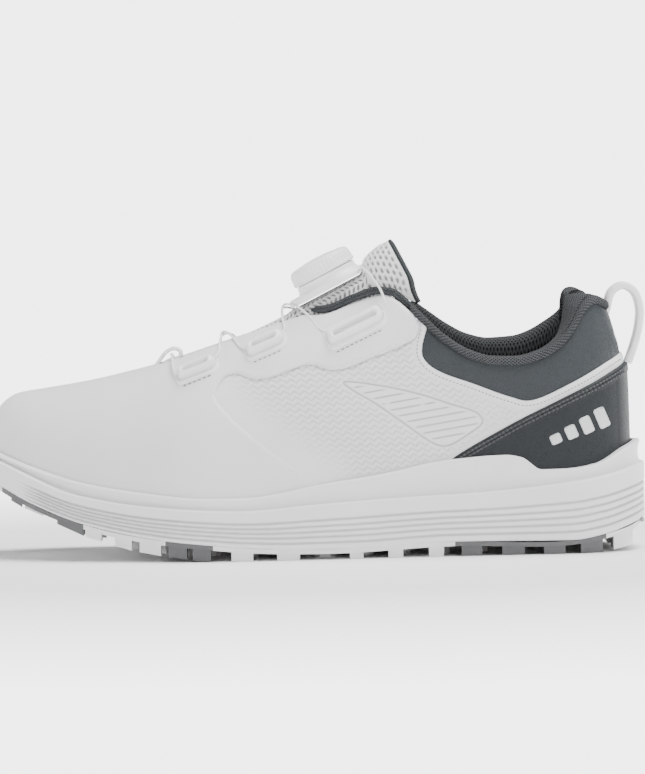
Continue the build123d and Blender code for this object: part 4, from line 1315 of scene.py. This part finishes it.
# ---------------------------------------------------------------- eyestay binding
ROLL_STATIONS, ROLL_SIDES = 110, 20
shapes, binding_uv = [], []
for side, _ in SIDES:
    x = np.linspace(1.5, 47.5, ROLL_STATIONS)
    centre = np.stack([x, THROAT_Y + side * (THROAT(x) + 1.0), TOPLINE(x) + 1.7], 1)
    taper = 1.75 * (0.35 + 0.65 * step_up(x, 1.0, 5.0))
    points, faces = tube(centre, taper, ROLL_SIDES)
    run = run_along(centre)
    binding_uv.append(np.stack([np.repeat(run, ROLL_SIDES),
                                np.tile(np.arange(ROLL_SIDES) * 0.55, ROLL_STATIONS)], 1))
    shapes.append((points, faces))
points, faces = joined(shapes)
binding = add_mesh("eyestay_binding_roll", points, faces, BINDING, 80, np.vstack(binding_uv))
finish_piece(binding, "shoe", "lining_knit", "eyestay_binding")


# ---------------------------------------------------------------- dial flange
def flange_piece():
    """The dial's base plate: a raised lip round a slot-shaped plate."""
    half_a, half_b, corner, offset = 19.0, 16.0, 15.99, 1.5
    underside = -1.5

    def distance(p):
        return stadium_distance(p[:, 0] + offset, p[:, 1], half_a, half_b, corner)

    params, faces = grid(np.linspace(-21.5, 18.5, 160), np.linspace(-16.5, 16.5, 132))
    params, faces = cut(params, faces, distance)
    depth = np.maximum(distance(params), 0)
    lip = 0.55 * np.exp(-((depth - 1.0) / 0.7) ** 2)
    w = underside + rounded(depth, 1.1, 2.6) + lip
    top = on_dial(params[:, 0], params[:, 1], w)
    low = on_dial(params[:, 0], params[:, 1], np.full(len(params), underside))
    points, faces = closed_shell(top, low, faces)
    plate = add_mesh("dial_base_plate", points, faces, DIAL_WHITE, 60)
    return finish_piece(plate, "tongue", "dial_white", "dial_flange")


flange_piece()


def turned_piece(name, profile, material, ribs=0, depth=0.0, rib_span=(0, 1)):
    """A piece turned about the dial's axis from (radius, height) points, with ribs on its side."""
    line = smooth_line(profile, step=0.25)
    count = 8 * ribs if ribs else 120
    angle = np.arange(count) * 2 * np.pi / count
    rings = []
    for r, w in line:
        span = step_up(w, rib_span[0], rib_span[0] + 0.8) * (1 - step_up(w, rib_span[1] - 1.0,
                                                                        rib_span[1]))
        radius = r - depth * span * (0.5 - 0.5 * np.cos(ribs * angle))
        rings.append(on_dial(radius * np.cos(angle), radius * np.sin(angle), np.full(count, w)))
    faces = ring_faces(len(line), count)
    del faces[-2]                   # the first ring stays open
    return add_mesh(name, np.vstack(rings), faces, material, 45)


KNOB_PROFILE = [(13.3, 8.6), (13.4, 6.4), (14.0, 5.7), (14.7, 5.8), (14.95, 6.5), (14.8, 8.0),
                (14.7, 9.6), (14.4, 11.0), (13.5, 12.2), (12.0, 12.8), (10.5, 13.0), (9.6, 13.1),
                (9.2, 12.95), (8.8, 13.1), (6.0, 13.5), (3.0, 13.7), (0.1, 13.75)]
HOUSING_PROFILE = [(15.3, 0.8), (15.1, 1.8), (14.5, 2.6), (14.3, 3.4), (14.1, 3.55), (14.2, 3.7),
                   (14.1, 5.0), (13.8, 5.35), (13.1, 5.5), (12.8, 5.9), (12.7, 7.2),
                   (12.2, 7.4), (11.2, 7.4), (11.0, 7.0), (11.0, 3.0), (0.5, 2.4)]
knob = turned_piece("dial_knob_grip", KNOB_PROFILE, DIAL_GRIP, 48, 0.30, (6.4, 11.6))
finish_piece(knob, "dial_knob", "dial_grip", "knob_grip", "knob_cap")
housing = turned_piece("dial_housing_ring", HOUSING_PROFILE, DIAL_WHITE)
finish_piece(housing, "tongue", "dial_white", "dial_housing")


# ---------------------------------------------------------------- lace
def beside(side, x, y, z):
    """A point at a distance y from the throat's middle line."""
    return (x, THROAT_Y + side * y, z)


def near_upper(x, z, side, lift):
    """A point above the upper, given as seen from the side."""
    return tuple(on_upper(x, z, side, lift)[0])


def over_edge(x, side, lift):
    """A point above the eyestay's edge."""
    heights = np.arange(40, 130, 0.25)
    s, v = seen_at(np.full(len(heights), float(x)), heights, side)
    y = bare_upper(s, v)[:, 1]
    half = THROAT(x)
    k = int(np.argmax(abs(y - THROAT_Y) <= half))
    return (float(x), float(THROAT_Y + side * half), float(heights[k] + lift))


# Each lace tunnel's rear and front end, seen from the side, as in the CAD.
TUNNELS = {"top": ((32.5, 106.7), (10.0, 96.4)), "middle": ((-11.1, 96.6), (-26.8, 90.4)),
           "low": ((-41.2, 86.2), (-56.8, 80.4))}
LACE_HEIGHT = 1.9               # lace above the leather, inside a guide
LACE_RADIUS = 0.52


def guide_ends(name, side):
    """The lace's points just past both ends of a guide."""
    middle, along, _, out, length = guide_frame(*TUNNELS[name], side)
    return [tuple(middle + along * k * (length / 2 + 2) + out * LACE_HEIGHT) for k in (1, -1)]


def lace_half(side, over):
    """The lace's points from the dial to the toe loop, starting on one side."""
    top, mid, low = guide_ends("top", side), guide_ends("middle", -side), guide_ends("low", side)
    dial_exit = [tuple(on_dial(u, side * y, w)) for u, y, w in
                 ((10, 5.9, 0.0), (14.6, 8.8, 0.1), (16.5, 15.5, 0.5))]
    return [*dial_exit, beside(side, 29.5, 21.5, 122.5), beside(side, 32.5, 27.2, 118),
            beside(side, 34.6, 29, 112), *top, over_edge(-1.5, side, 2.3),
            (-11.9, THROAT_Y, 112.2 + over * 0.8), over_edge(-11.6, -side, 1.5), *mid,
            over_edge(-34, -side, 1.9), (-38.5, THROAT_Y, 99.8 - over * 0.8),
            over_edge(-39.8, side, 1.5), *low, near_upper(-60, 83.5, side, 2.2),
            beside(side, -61, 9, 89)]


LACE_ROUTE = [*lace_half(LATERAL, 1), (-61.8, -4.5, 90), (-61.8, 2.5, 90),
              *reversed(lace_half(MEDIAL, -1))]
lace_curve = bpy.data.curves.new("lace_line", "CURVE")
lace_curve.dimensions = "3D"
lace_curve.resolution_u = 10
spline = lace_curve.splines.new("NURBS")
spline.points.add(len(LACE_ROUTE) - 1)
for point, place in zip(spline.points, LACE_ROUTE):
    point.co = (*(c * MM for c in place), 1)
spline.order_u = 3
spline.use_endpoint_u = True
line_piece = bpy.data.objects.new("lace_line", lace_curve)
bpy.context.scene.collection.objects.link(line_piece)
line_mesh = bpy.data.meshes.new_from_object(line_piece)
lace_line = np.array([v.co for v in line_mesh.vertices]) / MM
bpy.data.objects.remove(line_piece)
lace_points, lace_faces = tube(spaced(lace_line, 0.5), LACE_RADIUS)
lace = add_mesh("lace_cord", lace_points, lace_faces, LACE, 80)
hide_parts("lace")
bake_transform(lace)


# ---------------------------------------------------------------- stage, light and camera
floor_mesh = bpy.data.meshes.new("floor")
FLOOR_HALF = 4.0
floor_mesh.from_pydata([(a * FLOOR_HALF, b * FLOOR_HALF, 0) for a, b in
                        ((-1, -1), (1, -1), (1, 1), (-1, 1))], [], [(0, 1, 2, 3)])
floor = bpy.data.objects.new("floor", floor_mesh)
bpy.context.scene.collection.objects.link(floor)
floor_finish = Finish("floor_paper", Roughness=0.8)
floor_finish.coloured(floor_finish.blended(floor_finish.noise(300, 2), (0.90, 0.90, 0.90),
                                           (0.92, 0.92, 0.92)))
# The floor fades into the plain backdrop away from the shoe.
reach = floor_finish.add("ShaderNodeVectorMath", {"operation": "LENGTH"})
floor_finish.tree.links.new(floor_finish.place, reach.inputs[0])
fading = floor_finish.between(reach.outputs["Value"], 0.0, 1.0, 0.22, 0.60)
clear = floor_finish.add("ShaderNodeBsdfTransparent")
mixed = floor_finish.add("ShaderNodeMixShader", Fac=fading)
floor_finish.tree.links.new(floor_finish.shader.outputs["BSDF"], mixed.inputs[1])
floor_finish.tree.links.new(clear.outputs["BSDF"], mixed.inputs[2])
for node in floor_finish.tree.nodes:
    if node.type == "OUTPUT_MATERIAL":
        floor_finish.tree.links.new(mixed.outputs["Shader"], node.inputs["Surface"])
floor_mesh.materials.append(floor_finish.made)

world = bpy.data.worlds.new("studio")
world.use_nodes = True
bpy.context.scene.world = world
sky = world.node_tree
direction = sky.nodes.new("ShaderNodeTexCoord")
height_of = sky.nodes.new("ShaderNodeSeparateXYZ")
band = sky.nodes.new("ShaderNodeMapRange")
band.interpolation_type = "SMOOTHSTEP"
sky.links.new(direction.outputs["Generated"], height_of.inputs["Vector"])
sky.links.new(height_of.outputs["Z"], band.inputs["Value"])
for name, value in zip(RANGE_SOCKETS, (0.06, 0.20, 4.6, 0.45)):
    band.inputs[name].default_value = value
sky.links.new(band.outputs["Result"], sky.nodes["Background"].inputs["Strength"])
sky.nodes["Background"].inputs["Color"].default_value = (1, 1, 1, 1)


def area_light(name, place, target, size, power):
    """A soft rectangular light aimed at a target."""
    light = bpy.data.lights.new(name, "AREA")
    light.shape = "RECTANGLE"
    light.size, light.size_y = size
    light.energy = power
    lamp = bpy.data.objects.new(name, light)
    lamp.location = place
    lamp.rotation_euler = (Vector(target) - Vector(place)).to_track_quat("-Z", "Y").to_euler()
    bpy.context.scene.collection.objects.link(lamp)


area_light("overhead", (0.35, 0.1, 1.7), (0, 0.05, 0), (1.2, 1.0), 62)
area_light("front_right", (1.3, -1.5, 1.6), (0, 0, 0.06), (0.6, 0.6), 20)

camera_data = bpy.data.cameras.new("camera")
camera_data.sensor_fit = "HORIZONTAL"
camera_data.sensor_width = 36
camera_data.lens = 248
camera = bpy.data.objects.new("camera", camera_data)
camera_target = Vector((0.006, 0.0, 0.0742))
camera_distance = 2.0
camera_height = math.radians(2.0)
camera_tilt = math.radians(-0.84)
camera.location = camera_target + camera_distance * Vector((0, -math.cos(camera_height),
                                                            math.sin(camera_height)))
aim = (camera_target - camera.location).to_track_quat("-Z", "Y")
camera.rotation_euler = (aim @ Quaternion((0, 0, 1), camera_tilt)).to_euler()
bpy.context.scene.collection.objects.link(camera)
bpy.context.scene.camera = camera
